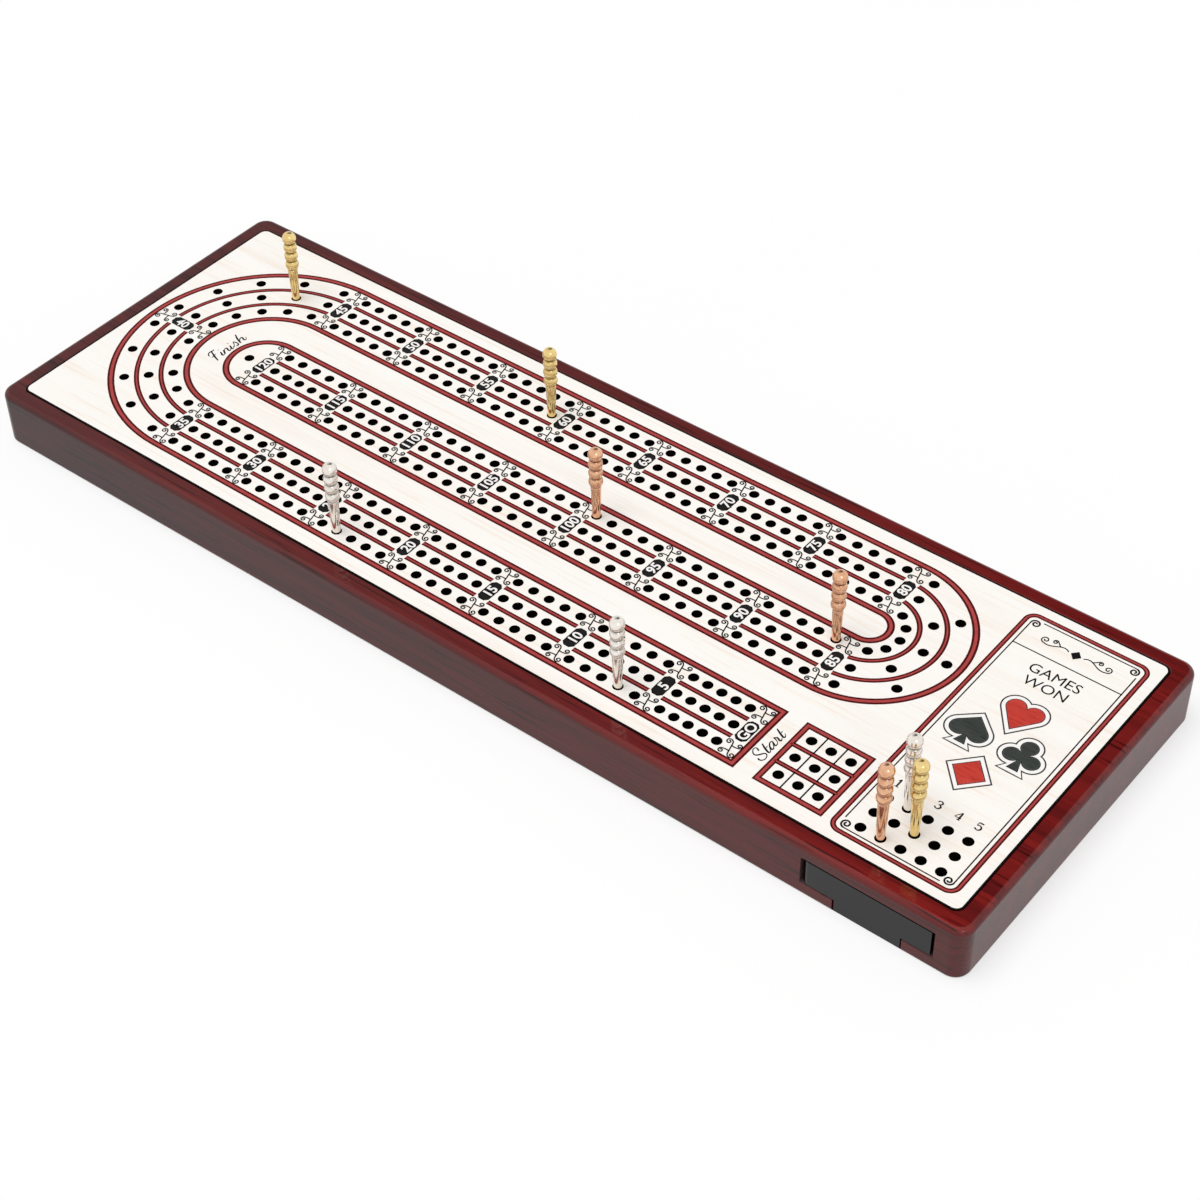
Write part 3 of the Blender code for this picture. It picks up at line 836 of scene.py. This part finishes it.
SUITS = {"heart": heart, "diamond": diamond, "spade": spade, "club": club}
SUIT_FINISHES = {
    "heart": (RED_INLAY, "red_inlay"),
    "diamond": (RED_INLAY, "red_inlay"),
    "spade": (BLACK_INLAY, "black_wood"),
    "club": (BLACK_INLAY, "black_wood"),
}


def suit_outline(suit, outset):
    """A suit's outline where the CAD puts its inlay."""
    low, high = INLAYS[suit]
    outline = SUITS[suit](0.0)
    middle_y = (max(y for x, y in outline) + min(y for x, y in outline)) / 2
    return placed(SUITS[suit](outset), (low.x + high.x) / 2, (low.y + high.y) / 2 - middle_y, 0.0)


def make_inlays():
    for suit, (finish, slot) in SUIT_FINISHES.items():
        low, high = INLAYS[suit]
        outline = suit_outline(suit, 0.0)
        rings = [at_height(outline, low.z)]
        for inset, drop in rounded_over(INLAY_ROUNDING, 5):
            rings.append(at_height(offset_path(outline, -inset, True), high.z - drop))
        mesh = bmesh.new()
        skin(mesh, rings)
        inlay = add_piece("suit_" + suit, mesh, [finish], replaces=["inlay_" + suit])
        # Marks the rounded rim for painted shade.
        mark_painted_shade(inlay, lambda point: (high.z - point.z) / INLAY_RIM_SHADE_DEPTH)


def print_suit_bands():
    white = bmesh.new()
    grey = bmesh.new()
    for suit in SUITS:
        edge = suit_outline(suit, SUIT_BAND)
        washer(white, suit_outline(suit, INLAY_FIT), edge, TOP + INK_ROOT, TOP + INK_LOW)
        band(grey, edge, SUIT_LINE, INK_MIDDLE, closed=True)
    add_piece("suit_bands", white, [WHITE_INK])
    add_piece("suit_lines", grey, [GREY_INK])


# Deck, with its holes and pockets

def hole_middles(depth):
    """Middles of the holes of one depth, from their floors in the CAD deck."""
    mesh = frame["nodes"]["deck"].data
    floors = []
    for face in mesh.polygons:
        corners = {tuple(round(c / MM, 2) for c in mesh.vertices[v].co) for v in face.vertices}
        if any(abs(z - (TOP - depth)) > FLAT for x, y, z in corners):
            continue
        joined = [floor for floor in floors if floor & corners]
        floors = [floor for floor in floors if not floor & corners]
        floors.append(corners.union(*joined))
    return [[sum(c[axis] for c in floor) / len(floor) for axis in (0, 1)] for floor in floors]


def make_deck():
    mesh = bmesh.new()
    rings = [at_height(deck_outline(0.0), DECK_LOW.z), at_height(deck_outline(0.0), TOP - DECK_EASE)]
    rings.append(at_height(deck_outline(DECK_EASE), TOP))
    skin(mesh, rings)
    tool = bmesh.new()
    for depth in (TRACK_HOLE_DEPTH, SCORE_HOLE_DEPTH):
        for x, y in hole_middles(depth):
            narrow = circle(x, y, HOLE_RADIUS, HOLE_SIDES)
            wide = circle(x, y, HOLE_RADIUS + HOLE_EASE + CUT_MARGIN, HOLE_SIDES)
            rings = [at_height(narrow, TOP - depth), at_height(narrow, TOP - HOLE_EASE)]
            skin(tool, rings + [at_height(wide, TOP + CUT_MARGIN)])
    for suit, (low, high) in INLAYS.items():
        prism(tool, suit_outline(suit, INLAY_FIT), low.z - INLAY_FIT, TOP + CUT_MARGIN)
    relief = prism_tool(box_outline(*BAY[:2], -HALF_WIDTH, BAY_BACK_Y), DECK_LOW.z - CUT_MARGIN, BAY[3])
    mesh = combined(mesh, [("DIFFERENCE", tool), ("DIFFERENCE", relief)])
    for face in mesh.faces:
        middle = face.calc_center_median()
        if DECK_LOW.z + FLAT < middle.z < TOP - FLAT:
            face.material_index = 1
    add_piece("deck_panel", mesh, [MAPLE, HOLE_WALL], replaces=["deck"])


# Printed lines

def track_border():
    """The one closed line that runs along both sides of the whole track."""
    bends = (
        (LEFT_X, 0.0, STRAIGHT_Y + TRACK_REACH, 270.0, 90.0),
        (RIGHT_X, U_BEND_RADIUS, U_BEND_RADIUS + TRACK_REACH, 90.0, -90.0),
        (LEFT_X, 0.0, TRACK_REACH, 270.0, 90.0),
        (RIGHT_X, U_BEND_RADIUS, U_BEND_RADIUS - TRACK_REACH, -90.0, 90.0),
        (LEFT_X, 0.0, STRAIGHT_Y - TRACK_REACH, 90.0, 270.0),
    )
    path = [(TRACK_END_X, -STRAIGHT_Y - TRACK_REACH)]
    for bend in bends:
        path += arc(*bend, BEND_STEPS)
    return path + [(TRACK_END_X, -STRAIGHT_Y + TRACK_REACH)]


def label_x(index):
    return FIRST_LABEL_X + LABEL_PITCH * index


def lane_lines():
    """The lines between lanes, each broken at the number plates."""
    paths = []
    for side in (-LANE_PITCH / 2, LANE_PITCH / 2):
        for index in range(LABELS_PER_STRAIGHT - 1):
            for y in (-STRAIGHT_Y, 0.0, STRAIGHT_Y):
                last = y < 0.0 and index == LABELS_PER_STRAIGHT - 2
                end = GO_X if last else label_x(index + 1)
                start = label_x(index) + LANE_LINE_GAP
                paths.append([(start, y + side), (end - LANE_LINE_GAP, y + side)])
        radius = STRAIGHT_Y + side
        gap = math.degrees(math.asin(LANE_LINE_GAP / radius))
        for first in (270.0, 180.0):
            paths.append(arc(LEFT_X, 0.0, radius, first - gap, first - 90.0 + gap, BEND_STEPS // 2))
        radius = U_BEND_RADIUS + side
        gap = math.degrees(math.asin(LANE_LINE_GAP / radius))
        paths.append(arc(RIGHT_X, U_BEND_RADIUS, radius, 90.0 - gap, -90.0 + gap, BEND_STEPS))
    return paths


def print_red_lines():
    """Red lines, each with dark edges and a brighter middle."""
    closed = [(track_border(), BORDER_LINE), (box_outline(*BOX), BOX_LINE)]
    closed.append((rounded_box(*CARD, CARD_RADIUS), CARD_LINE))
    opened = [(path, LANE_LINE) for path in lane_lines()]
    for y in BOX_ROWS:
        opened.append(([(BOX[0], y), (BOX[1], y)], BOX_ROW_LINE))
    for layer, (name, finish, top) in enumerate((
        ("red_line_edges", RED_EDGE_INK, INK_LOW),
        ("red_line_cores", RED_CORE_INK, INK_MIDDLE),
    )):
        mesh = bmesh.new()
        for path, widths in closed:
            band(mesh, path, widths[layer], top, closed=True)
        for path, widths in opened:
            band(mesh, path, widths[layer], top)
        add_piece(name, mesh, [finish])


def number_plates():
    """Text, place and turn of each label on the track."""
    plates = [("40", LEFT_X - STRAIGHT_Y, 0.0, 0.0), ("GO", GO_X, -STRAIGHT_Y, 90.0)]
    for index in range(LABELS_PER_STRAIGHT):
        x = label_x(index)
        plates.append((str(45 + 5 * index), x, STRAIGHT_Y, 90.0))
        plates.append((str(120 - 5 * index), x, 0.0, 90.0))
        if index < LABELS_PER_STRAIGHT - 1:
            plates.append((str(35 - 5 * index), x, -STRAIGHT_Y, 90.0))
    return plates


def plate_outline(inset):
    """A plate with cut corners, its length along X."""
    x = PLATE_HALF_LENGTH - inset
    y = PLATE_HALF_HEIGHT - inset
    cut = PLATE_CORNER - 0.4 * inset
    right = [(x - cut, -y), (x, -y + cut), (x, y - cut), (x - cut, y)]
    return right + [(-px, -py) for px, py in right]


def scroll_lines():
    """A four-curl scroll, drawn across its lane, as open lines about its middle."""
    half = bezier((0.0, 0.0), (-0.35, 1.1), (-0.35, 2.2), (-0.9, 2.62), 8)
    half += curl(-1.75, 2.05, 1.02, 34.0, 1.3)[1:]
    branch = bezier((-0.3, 1.1), (0.1, 0.9), (0.9, 0.95), (1.75, 1.15), 8)
    branch += curl(1.75, 2.05, 0.9, 270.0, 1.3)[1:]
    lines = [half, branch]
    return lines + [[(-x, -y) for x, y in line] for line in lines]


def print_labels():
    rims = bmesh.new()
    fills = bmesh.new()
    outlines = bmesh.new()
    numerals = bmesh.new()
    scrolls = bmesh.new()
    for text, x, y, turn in number_plates():
        prism(rims, placed(plate_outline(0.0), x, y, turn), TOP + INK_ROOT, TOP + INK_LOW)
        prism(fills, placed(plate_outline(PLATE_RIM), x, y, turn), TOP + INK_ROOT, TOP + INK_MIDDLE)
        lettering(outlines, text, NUMERAL_HEIGHT, (x, y, turn), INK_HIGH, swell=NUMERAL_EDGE_SWELL)
        lettering(numerals, text, NUMERAL_HEIGHT, (x, y, turn), INK_TOP, swell=NUMERAL_SWELL)
        for side in (-LANE_PITCH, LANE_PITCH):
            middle = placed([(side, 0.0)], x, y, turn)[0]
            for line in scroll_lines():
                band(scrolls, placed(line, *middle, turn - 90.0), SCROLL_LINE, INK_LOW)
    add_piece("number_plates", rims, [BLACK_INK])
    add_piece("number_plate_fills", fills, [PLATE_INK])
    add_piece("numeral_outlines", outlines, [BLACK_INK])
    add_piece("numerals", numerals, [WHITE_INK])
    add_piece("lane_scrolls", scrolls, [BLACK_INK])


def card_border():
    """Lines and widths of the games panel's inner border: each side winds into a curl at its far corner."""
    left, right, low, high = CARD_INNER
    corners = ((right, high), (right, low), (left, low), (left, high))
    lines = []
    for index, (x, y) in enumerate(corners):
        start = Vector((x, y))
        end = Vector(corners[(index + 1) % 4])
        along = (end - start).normalized()
        inwards = Vector((along.y, -along.x))
        first = start + along * (2.0 * CARD_CURL_RADIUS + CARD_CURL_GAP)
        middle = end - along * CARD_CURL_RADIUS + inwards * CARD_CURL_RADIUS
        heading = math.degrees(math.atan2(-inwards.y, -inwards.x))
        winding = curl(*middle, CARD_CURL_RADIUS, heading, -1.45, 0.3, 34)
        lines.append(([tuple(first), winding[0], winding[1]], HAIRLINE))
        lines.append((winding, CARD_CURL_LINE))
    lines.append(([(left, CARD_BAND_Y), (right, CARD_BAND_Y)], HAIRLINE))
    return lines


def band_flourish():
    """A lozenge between two mirrored scrolls, in the panel's top band."""
    y = (CARD_BAND_Y + CARD_INNER[3]) / 2
    lines = []
    for side in (-1.0, 1.0):
        stem_line = bezier((2.4, 0.0), (5.0, 2.4), (7.0, -2.2), (10.2, -0.9), 14)
        stem_line += curl(10.2, 0.45, 1.35, 270.0, 1.35)[1:]
        leaf = bezier((5.2, 0.35), (6.2, 1.2), (6.6, 1.9), (7.2, 2.1), 8)
        leaf += curl(7.35, 1.3, 0.8, 100.0, -1.2)[1:]
        lines += [[(side * lx, ly) for lx, ly in line] for line in (stem_line, leaf)]
    lozenge = [(0.0, -1.9), (1.7, 0.0), (0.0, 1.9), (-1.7, 0.0)]
    return [placed(line, CARD_MIDDLE_X, y, 0.0) for line in lines], placed(lozenge, CARD_MIDDLE_X, y, 0.0)


# Pen strokes of the script letters and the digits: along, up and width. Each letter has its advance
DOT = ((-0.12, 0.0, 0.3), (0.0, 0.05, 0.55), (0.14, 0.1, 0.3))
SHORT_I = (
    (0.75, 2.15, 0.3), (0.45, 1.4, 0.55), (0.05, 0.5, 0.6), (0.2, 0.05, 0.4), (0.75, 0.25, 0.25),
    (1.3, 0.9, 0.2),
)
SCRIPT = {
    "S": (3.75, [(
        (2.65, 2.75, 0.5), (3.05, 3.45, 0.45), (3.1, 4.0, 0.35), (2.6, 4.3, 0.3), (1.9, 4.2, 0.3),
        (1.1, 3.6, 0.35), (0.75, 2.95, 0.4), (0.95, 2.3, 0.45), (1.75, 1.65, 0.5), (2.55, 1.15, 0.45),
        (2.95, 0.6, 0.4), (2.6, -0.05, 0.32), (1.75, -0.4, 0.3), (0.95, -0.4, 0.32), (0.2, 0.1, 0.4),
        (0.0, 0.8, 0.5), (0.3, 1.25, 0.45),
    )]),
    "F": (3.2, [
        ((0.1, 3.2, 0.3), (0.35, 4.0, 0.4), (1.05, 4.6, 0.4), (1.9, 4.7, 0.5), (2.8, 4.5, 0.45),
         (3.5, 4.65, 0.4)),
        ((2.4, 4.9, 0.4), (1.45, 2.75, 0.6), (0.7, 0.85, 0.6), (0.25, -0.55, 0.4)),
        ((0.0, 2.15, 0.25), (1.2, 2.35, 0.3), (2.2, 2.6, 0.25)),
    ]),
    "t": (1.55, [
        ((1.65, 3.6, 0.4), (0.8, 2.1, 0.6), (0.1, 0.5, 0.6), (0.3, 0.03, 0.42), (0.9, 0.2, 0.25),
         (1.5, 0.85, 0.2)),
        ((1.05, 1.72, 0.22), (1.85, 1.95, 0.25)),
    ]),
    "a": (3.6, [
        ((2.5, 2.0, 0.3), (1.7, 2.1, 0.35), (0.65, 1.45, 0.45), (0.0, 0.45, 0.6), (0.3, 0.02, 0.45),
         (1.1, 0.35, 0.28), (2.4, 1.75, 0.25)),
        ((2.55, 2.05, 0.35), (2.15, 1.2, 0.5), (1.75, 0.5, 0.55), (1.95, 0.1, 0.4), (2.9, 0.35, 0.25),
         (3.6, 1.25, 0.25)),
    ]),
    "r": (2.0, [(
        (0.0, 1.25, 0.3), (0.3, 2.25, 0.45), (0.55, 1.95, 0.4), (0.9, 1.55, 0.5), (0.55, 0.75, 0.6),
        (0.45, 0.25, 0.55), (0.85, 0.05, 0.35), (1.6, 0.5, 0.2),
    )]),
    "i": (1.1, [SHORT_I, [(along + 1.1, up + 3.3, width) for along, up, width in DOT]]),
    "n": (3.25, [
        ((0.95, 2.05, 0.35), (0.5, 1.15, 0.6), (0.0, 0.1, 0.45)),
        ((0.45, 1.05, 0.25), (1.3, 1.85, 0.3), (2.1, 2.15, 0.4), (2.35, 1.7, 0.6), (1.95, 0.75, 0.6),
         (2.15, 0.1, 0.45), (2.7, 0.3, 0.25), (3.2, 0.85, 0.2)),
    ]),
    "s": (2.95, [(
        (0.0, 0.3, 0.2), (1.0, 1.4, 0.3), (1.7, 2.5, 0.4), (2.05, 1.7, 0.45), (2.1, 0.7, 0.45),
        (1.5, 0.05, 0.5), (0.75, 0.15, 0.35),
    )]),
    "h": (3.2, [
        ((2.0, 4.7, 0.45), (0.9, 2.8, 0.6), (0.1, 0.75, 0.6), (0.05, 0.1, 0.45)),
        ((0.3, 0.9, 0.25), (1.25, 1.9, 0.3), (2.05, 2.1, 0.45), (2.2, 1.6, 0.6), (1.85, 0.7, 0.6),
         (2.05, 0.05, 0.4), (2.7, 0.4, 0.25), (3.3, 1.15, 0.22)),
    ]),
}
SCRIPT_WORDS = (("Start", 106.55, -43.8), ("Finish", -138.8, -7.4))
DIGITS = {
    "1": [((-0.6, 2.35, 0.25), (-0.1, 2.7, 0.4), (0.05, 2.95, 0.5), (0.05, 1.5, 0.55), (0.05, 0.1, 0.5)),
          ((-0.6, 0.1, 0.25), (0.7, 0.1, 0.25))],
    "2": [((-0.8, 2.2, 0.5), (-0.6, 2.8, 0.35), (0.1, 2.95, 0.35), (0.75, 2.35, 0.5), (0.4, 1.5, 0.45),
           (-0.35, 0.75, 0.3), (-0.85, 0.15, 0.3)),
          ((-0.85, 0.2, 0.3), (0.1, 0.2, 0.5), (0.8, 0.25, 0.4), (0.95, 0.7, 0.25))],
    "3": [((-0.75, 2.4, 0.5), (-0.45, 2.85, 0.35), (0.15, 2.95, 0.35), (0.65, 2.4, 0.5), (0.3, 1.8, 0.35),
           (-0.2, 1.65, 0.25)),
          ((-0.2, 1.65, 0.25), (0.5, 1.45, 0.4), (0.8, 0.85, 0.55), (0.3, 0.15, 0.4), (-0.4, 0.15, 0.35),
           (-0.85, 0.6, 0.5))],
    "4": [((0.35, 2.95, 0.3), (-0.4, 1.8, 0.25), (-0.95, 0.85, 0.25), (0.1, 0.8, 0.3), (0.95, 0.8, 0.25)),
          ((0.4, 2.95, 0.4), (0.4, 1.5, 0.55), (0.4, 0.1, 0.5)), ((-0.1, 0.1, 0.25), (0.9, 0.1, 0.25))],
    "5": [((0.75, 2.85, 0.4), (0.0, 2.8, 0.45), (-0.6, 2.8, 0.3), (-0.65, 2.2, 0.25), (-0.7, 1.6, 0.25)),
          ((-0.7, 1.55, 0.25), (0.0, 1.9, 0.35), (0.75, 1.4, 0.5), (0.75, 0.65, 0.55), (0.1, 0.1, 0.35),
           (-0.85, 0.5, 0.5))],
}
DIGIT_PLACES = (140.9, 147.2, 153.8, 160.2, 166.4)
DIGIT_Y = -29.3
WORDS = (
    ("GAMES", 3.7, (CARD_MIDDLE_X, 32.65, 0.0)),
    ("WON", 3.7, (CARD_MIDDLE_X, 27.4, 0.0)),
)


def print_black_lines():
    mesh = bmesh.new()
    for x in BOX_COLUMNS:
        band(mesh, [(x, BOX[2]), (x, BOX[3])], BOX_COLUMN_LINE, INK_LOW)
    for line, width in card_border():
        band(mesh, line, width, INK_LOW)
    scrolls, lozenge = band_flourish()
    for line in scrolls:
        band(mesh, line, HAIRLINE, INK_LOW)
    prism(mesh, lozenge, TOP + INK_ROOT, TOP + INK_LOW)
    band(mesh, deck_outline(DECK_EASE + DECK_LINE / 2), DECK_LINE, INK_LOW, closed=True)
    add_piece("fine_black_lines", mesh, [BLACK_INK])
    mesh = bmesh.new()
    for text, height, place in WORDS:
        lettering(mesh, text, height, place, INK_LOW)
    for word, baseline_x, y in SCRIPT_WORDS:
        for letter in word:
            advance, strokes = SCRIPT[letter]
            for stroke in strokes:
                pen_stroke(mesh, stroke, (baseline_x, y, 90.0), INK_LOW)
            y += advance
    for digit, x in zip(DIGITS, DIGIT_PLACES):
        for stroke in DIGITS[digit]:
            pen_stroke(mesh, stroke, (x, DIGIT_Y, 0.0), INK_LOW)
    add_piece("words", mesh, [BLACK_INK])


# Drawer

def make_drawer():
    front = DRAWER_LOW.y - PIN_Y
    back = DRAWER_HIGH.y - PIN_Y
    left = DRAWER_LOW.x - PIN_X
    top = DRAWER_HIGH.z

    def swing_end(reach, low, high):
        """The free end, an arc about the pin."""
        start = math.degrees(math.asin(low / reach))
        end = math.degrees(math.asin(high / reach))
        return arc(0.0, 0.0, reach, start, end, CORNER_STEPS)

    plan = swing_end(DRAWER_REACH, front, back) + [(left, back)]
    plan += arc(0.0, 0.0, PIN_INSET, 180.0, 270.0, CORNER_STEPS)
    hollow = swing_end(DRAWER_REACH - DRAWER_WALL, front + DRAWER_WALL, back - DRAWER_WALL)
    hollow.append((left + DRAWER_WALL, back - DRAWER_WALL))
    boss_start = math.degrees(math.acos((left + DRAWER_WALL) / PIN_BOSS_RADIUS))
    boss_end = math.degrees(math.asin((front + DRAWER_WALL) / PIN_BOSS_RADIUS))
    hollow += arc(0.0, 0.0, PIN_BOSS_RADIUS, boss_start, boss_end, CORNER_STEPS)
    mesh = bmesh.new()
    prism(mesh, placed(plan, PIN_X, PIN_Y, 0.0), DRAWER_BOTTOM, top)
    face = round_left_end(DRAWER_LOW.x, BAY[1], DRAWER_BOTTOM, top, DRAWER_END_RADIUS)
    ends = bmesh.new()
    skin(ends, [upright(face, DRAWER_HIGH.y + CUT_MARGIN), upright(face, DRAWER_LOW.y - CUT_MARGIN)])
    hollow = placed(hollow, PIN_X, PIN_Y, 0.0)
    room = prism_tool(hollow, DRAWER_BOTTOM + DRAWER_FLOOR, top + CUT_MARGIN)
    pull = box_outline(*TAB, DRAWER_LOW.y, DRAWER_LOW.y + TAB_DEPTH)
    tab = prism_tool(pull, DRAWER_LOW.z, DRAWER_BOTTOM + DRAWER_FLOOR / 2)
    steps = (("INTERSECT", ends), ("DIFFERENCE", room), ("UNION", tab), ("DIFFERENCE", pin_tool()))
    mesh = combined(mesh, steps)
    bmesh.ops.dissolve_limit(mesh, angle_limit=DRAWER_FLAT_ANGLE, verts=mesh.verts, edges=mesh.edges)
    add_piece("peg_drawer", mesh, [BLACK_LACQUER], "drawer", ["drawer"], DRAWER_EDGE)


# Pegs

PEG_SIDES = 36
PEG_TIP_RADIUS = 1.1
PEG_TIP_ROUNDING = 0.4
PEG_NECK_RADIUS = 1.65
PEG_GROOVE_RADIUS = 1.45
PEG_BEAD_RADIUS = 2.25
PEG_BEAD_PITCH = 3.4
PEG_BEADS = 3
PEG_BEAD_STEPS = 14
PEG_BEAD_FULLNESS = 0.6
PEG_BALL_RADIUS = 2.3
PEG_BALL_TOP_ANGLE = 88.0
PEG_BALL_STEPS = 22
PEG_GROOVE_SHADE_RADIUS = 2.0
PEG_COLLAR = 0.3
PEG_METALS = {"silver": SILVER, "brass": BRASS, "copper": COPPER}


def peg_ball(length):
    """Radius and height along the ball, from its neck to its top."""
    start = -math.degrees(math.acos(PEG_GROOVE_RADIUS / PEG_BALL_RADIUS))
    return arc(0.0, length - PEG_BALL_RADIUS, PEG_BALL_RADIUS, start, PEG_BALL_TOP_ANGLE, PEG_BALL_STEPS)


def peg_shoulder(length):
    """Height of the shank's end, below the beads."""
    return peg_ball(length)[0][1] - PEG_BEADS * PEG_BEAD_PITCH


def peg_profile(length):
    """Radius and height above the tip: a tapered shank, three beads and a ball."""
    shoulder = peg_shoulder(length)
    profile = arc(PEG_TIP_RADIUS - PEG_TIP_ROUNDING, PEG_TIP_ROUNDING, PEG_TIP_ROUNDING, -90.0, 0.0, 5)
    profile.append((PEG_NECK_RADIUS, shoulder - PEG_COLLAR))
    for bead in range(PEG_BEADS):
        for step in range(PEG_BEAD_STEPS):
            share = step / PEG_BEAD_STEPS
            swell = math.sin(math.pi * share) ** PEG_BEAD_FULLNESS
            radius = PEG_GROOVE_RADIUS + (PEG_BEAD_RADIUS - PEG_GROOVE_RADIUS) * swell
            profile.append((radius, shoulder + (bead + share) * PEG_BEAD_PITCH))
    return profile + peg_ball(length)


def make_pegs():
    for metal, finish in PEG_METALS.items():
        for number in (1, 2, 3):
            node = f"peg_{metal}_{number}"
            low, high = node_box(node)
            x, y = (low.x + high.x) / 2, (low.y + high.y) / 2
            length = high.z - low.z
            shoulder = peg_shoulder(length)
            mesh = bmesh.new()
            rings = peg_profile(length)
            skin(mesh, [at_height(circle(x, y, radius, PEG_SIDES), low.z + z) for radius, z in rings])
            peg = add_piece(f"turned_peg_{metal}_{number}", mesh, [finish], node, [node])

            # Painted shade between the beads, deepest at the groove.
            def groove_shade_share(point):
                away = math.hypot(point.x - x, point.y - y)
                beaded = low.z + shoulder - PEG_COLLAR / 2 < point.z < high.z - PEG_BALL_RADIUS
                return beaded * (PEG_GROOVE_SHADE_RADIUS - away) / (PEG_GROOVE_SHADE_RADIUS - PEG_GROOVE_RADIUS)

            mark_painted_shade(peg, groove_shade_share)


make_slab()
make_deck()
make_inlays()
print_suit_bands()
print_red_lines()
print_labels()
print_black_lines()
make_drawer()
make_pegs()
pin = frame["nodes"]["drawer_pin"]
pin.data.materials.clear()
pin.data.materials.append(STEEL)


# Studio

def looked_at(tree):
    """1 for camera, glossy and transmission rays, which see the room, and 0 for those that light it."""
    path = add_node(tree, "ShaderNodeLightPath").outputs
    seen = worked_out(tree, "MAXIMUM", path["Is Camera Ray"], path["Is Glossy Ray"])
    return worked_out(tree, "MAXIMUM", seen, path["Is Transmission Ray"])


FLOOR_GLOW = 0.66
FLOOR_HALF = 4000.0
FLOOR_HEIGHT = -0.1
FLOOR_CLOUD_SIZE = 1.5
SHADE_INSET = 0.35
SHADE_HEIGHT = -0.05
SHADE_CLOUD_SIZE = 30.0


def stage_sheet(name, outline, height, finish):
    """A flat sheet of the studio, below the board."""
    mesh = bmesh.new()
    mesh.faces.new([mesh.verts.new(point) for point in at_height(outline, height)])
    bmesh.ops.scale(mesh, vec=(MM, MM, MM), verts=mesh.verts)
    sheet = loose_object(name, mesh)
    sheet.data.materials.append(finish)


def make_shade():
    """A dark sheet right under the board: painted shade where the board keeps light off the floor."""
    finish, tree, shader = new_finish("studio_shade", Specular_IOR_Level=0.0)
    cloud = use_group(tree, HANDLING, {"Size": SHADE_CLOUD_SIZE})["Cloud"]
    tree.links.new(ramp(tree, cloud, ((0.2, "201A1B"), (0.8, "2A2324"))), shader.inputs["Base Color"])
    stage_sheet("studio_shade", board_outline(SHADE_INSET), SHADE_HEIGHT, finish)


def make_floor():
    """A pale floor that takes the shadow, and looks white to the camera and to gloss."""
    finish = bpy.data.materials.new("studio_floor")
    finish.use_nodes = True
    tree = finish.node_tree
    tree.nodes.remove(tree.nodes["Principled BSDF"])
    cloud = use_group(tree, HANDLING, {"Size": FLOOR_CLOUD_SIZE})["Cloud"]
    tint = ramp(tree, cloud, ((0.2, "9C9C9C"), (0.8, "A0A0A0")))
    matte = add_node(tree, "ShaderNodeBsdfDiffuse", {"Color": tint})
    glow = worked_out(tree, "MULTIPLY", looked_at(tree), FLOOR_GLOW)
    light = add_node(tree, "ShaderNodeEmission", {"Strength": glow})
    both = add_node(tree, "ShaderNodeAddShader", {0: matte.outputs["BSDF"], 1: light.outputs["Emission"]})
    tree.links.new(both.outputs["Shader"], tree.nodes["Material Output"].inputs["Surface"])
    outline = box_outline(-FLOOR_HALF, FLOOR_HALF, -FLOOR_HALF, FLOOR_HALF)
    stage_sheet("studio_floor", outline, FLOOR_HEIGHT, finish)


DARK_CARD = (-0.464, 0.574, 0.676)


def make_world():
    """A plain room: even soft light, and for gloss white walls with a dark card behind the board."""
    world = bpy.data.worlds.new("studio_room")
    world.use_nodes = True
    tree = world.node_tree
    direction = add_node(tree, "ShaderNodeTexCoord").outputs["Generated"]
    across = one_axis(tree, direction, "X")
    inputs = {0: direction, 1: DARK_CARD}
    towards_card = add_node(tree, "ShaderNodeVectorMath", inputs, operation="DOT_PRODUCT").outputs["Value"]
    horizon = ramp(tree, towards_card, ((0.84, "FFFFFF"), (0.94, "4A4A4A")))
    leftwards = worked_out(tree, "MULTIPLY", across, -1.0)
    wall = ramp(tree, leftwards, ((0.26, "000000"), (0.62, "C8C8C8"), (0.85, "FFFFFF")))
    room = mixed(tree, 1.0, horizon, wall, "LIGHTEN")
    lit = mixed(tree, looked_at(tree), colour("989898"), room)
    camera_ray = add_node(tree, "ShaderNodeLightPath").outputs["Is Camera Ray"]
    shown = mixed(tree, camera_ray, lit, colour("FFFFFF"))
    tree.links.new(shown, tree.nodes["Background"].inputs["Color"])
    bpy.context.scene.world = world


def make_lamp(name, strength, angle, towards):
    """A far lamp, as wide as its angle in degrees."""
    lamp = bpy.data.lights.new(name, "SUN")
    lamp.energy = strength
    lamp.angle = math.radians(angle)
    made = bpy.data.objects.new(name, lamp)
    made.rotation_euler = Vector(towards).to_track_quat("Z", "Y").to_euler()
    bpy.context.scene.collection.objects.link(made)
    return made


def make_lamps():
    """A large soft lamp, nearly overhead, and a small one at the front right that gives gloss its sparkle."""
    key = make_lamp("soft_key", 2.05, 40.0, (-0.15, -0.15, 1.0))
    key.visible_glossy = False
    make_lamp("sparkle", 0.22, 20.0, (0.66, -0.42, 0.62))


def make_camera():
    lens = bpy.data.cameras.new("camera")
    lens.lens = 74.54
    lens.sensor_width = 36.0
    camera = bpy.data.objects.new("camera", lens)
    right = Vector((0.78362358, 0.62105903, -0.01482454))
    up = Vector((-0.41840988, 0.54526858, 0.72637135))
    place = Matrix((right, up, right.cross(up))).transposed().to_4x4()
    place.translation = (0.365796, -0.430029, 0.518889)
    camera.matrix_world = place
    bpy.context.scene.collection.objects.link(camera)
    bpy.context.scene.camera = camera


make_floor()
make_shade()
make_world()
make_lamps()
make_camera()
bpy.context.scene.view_settings.view_transform = "Standard"
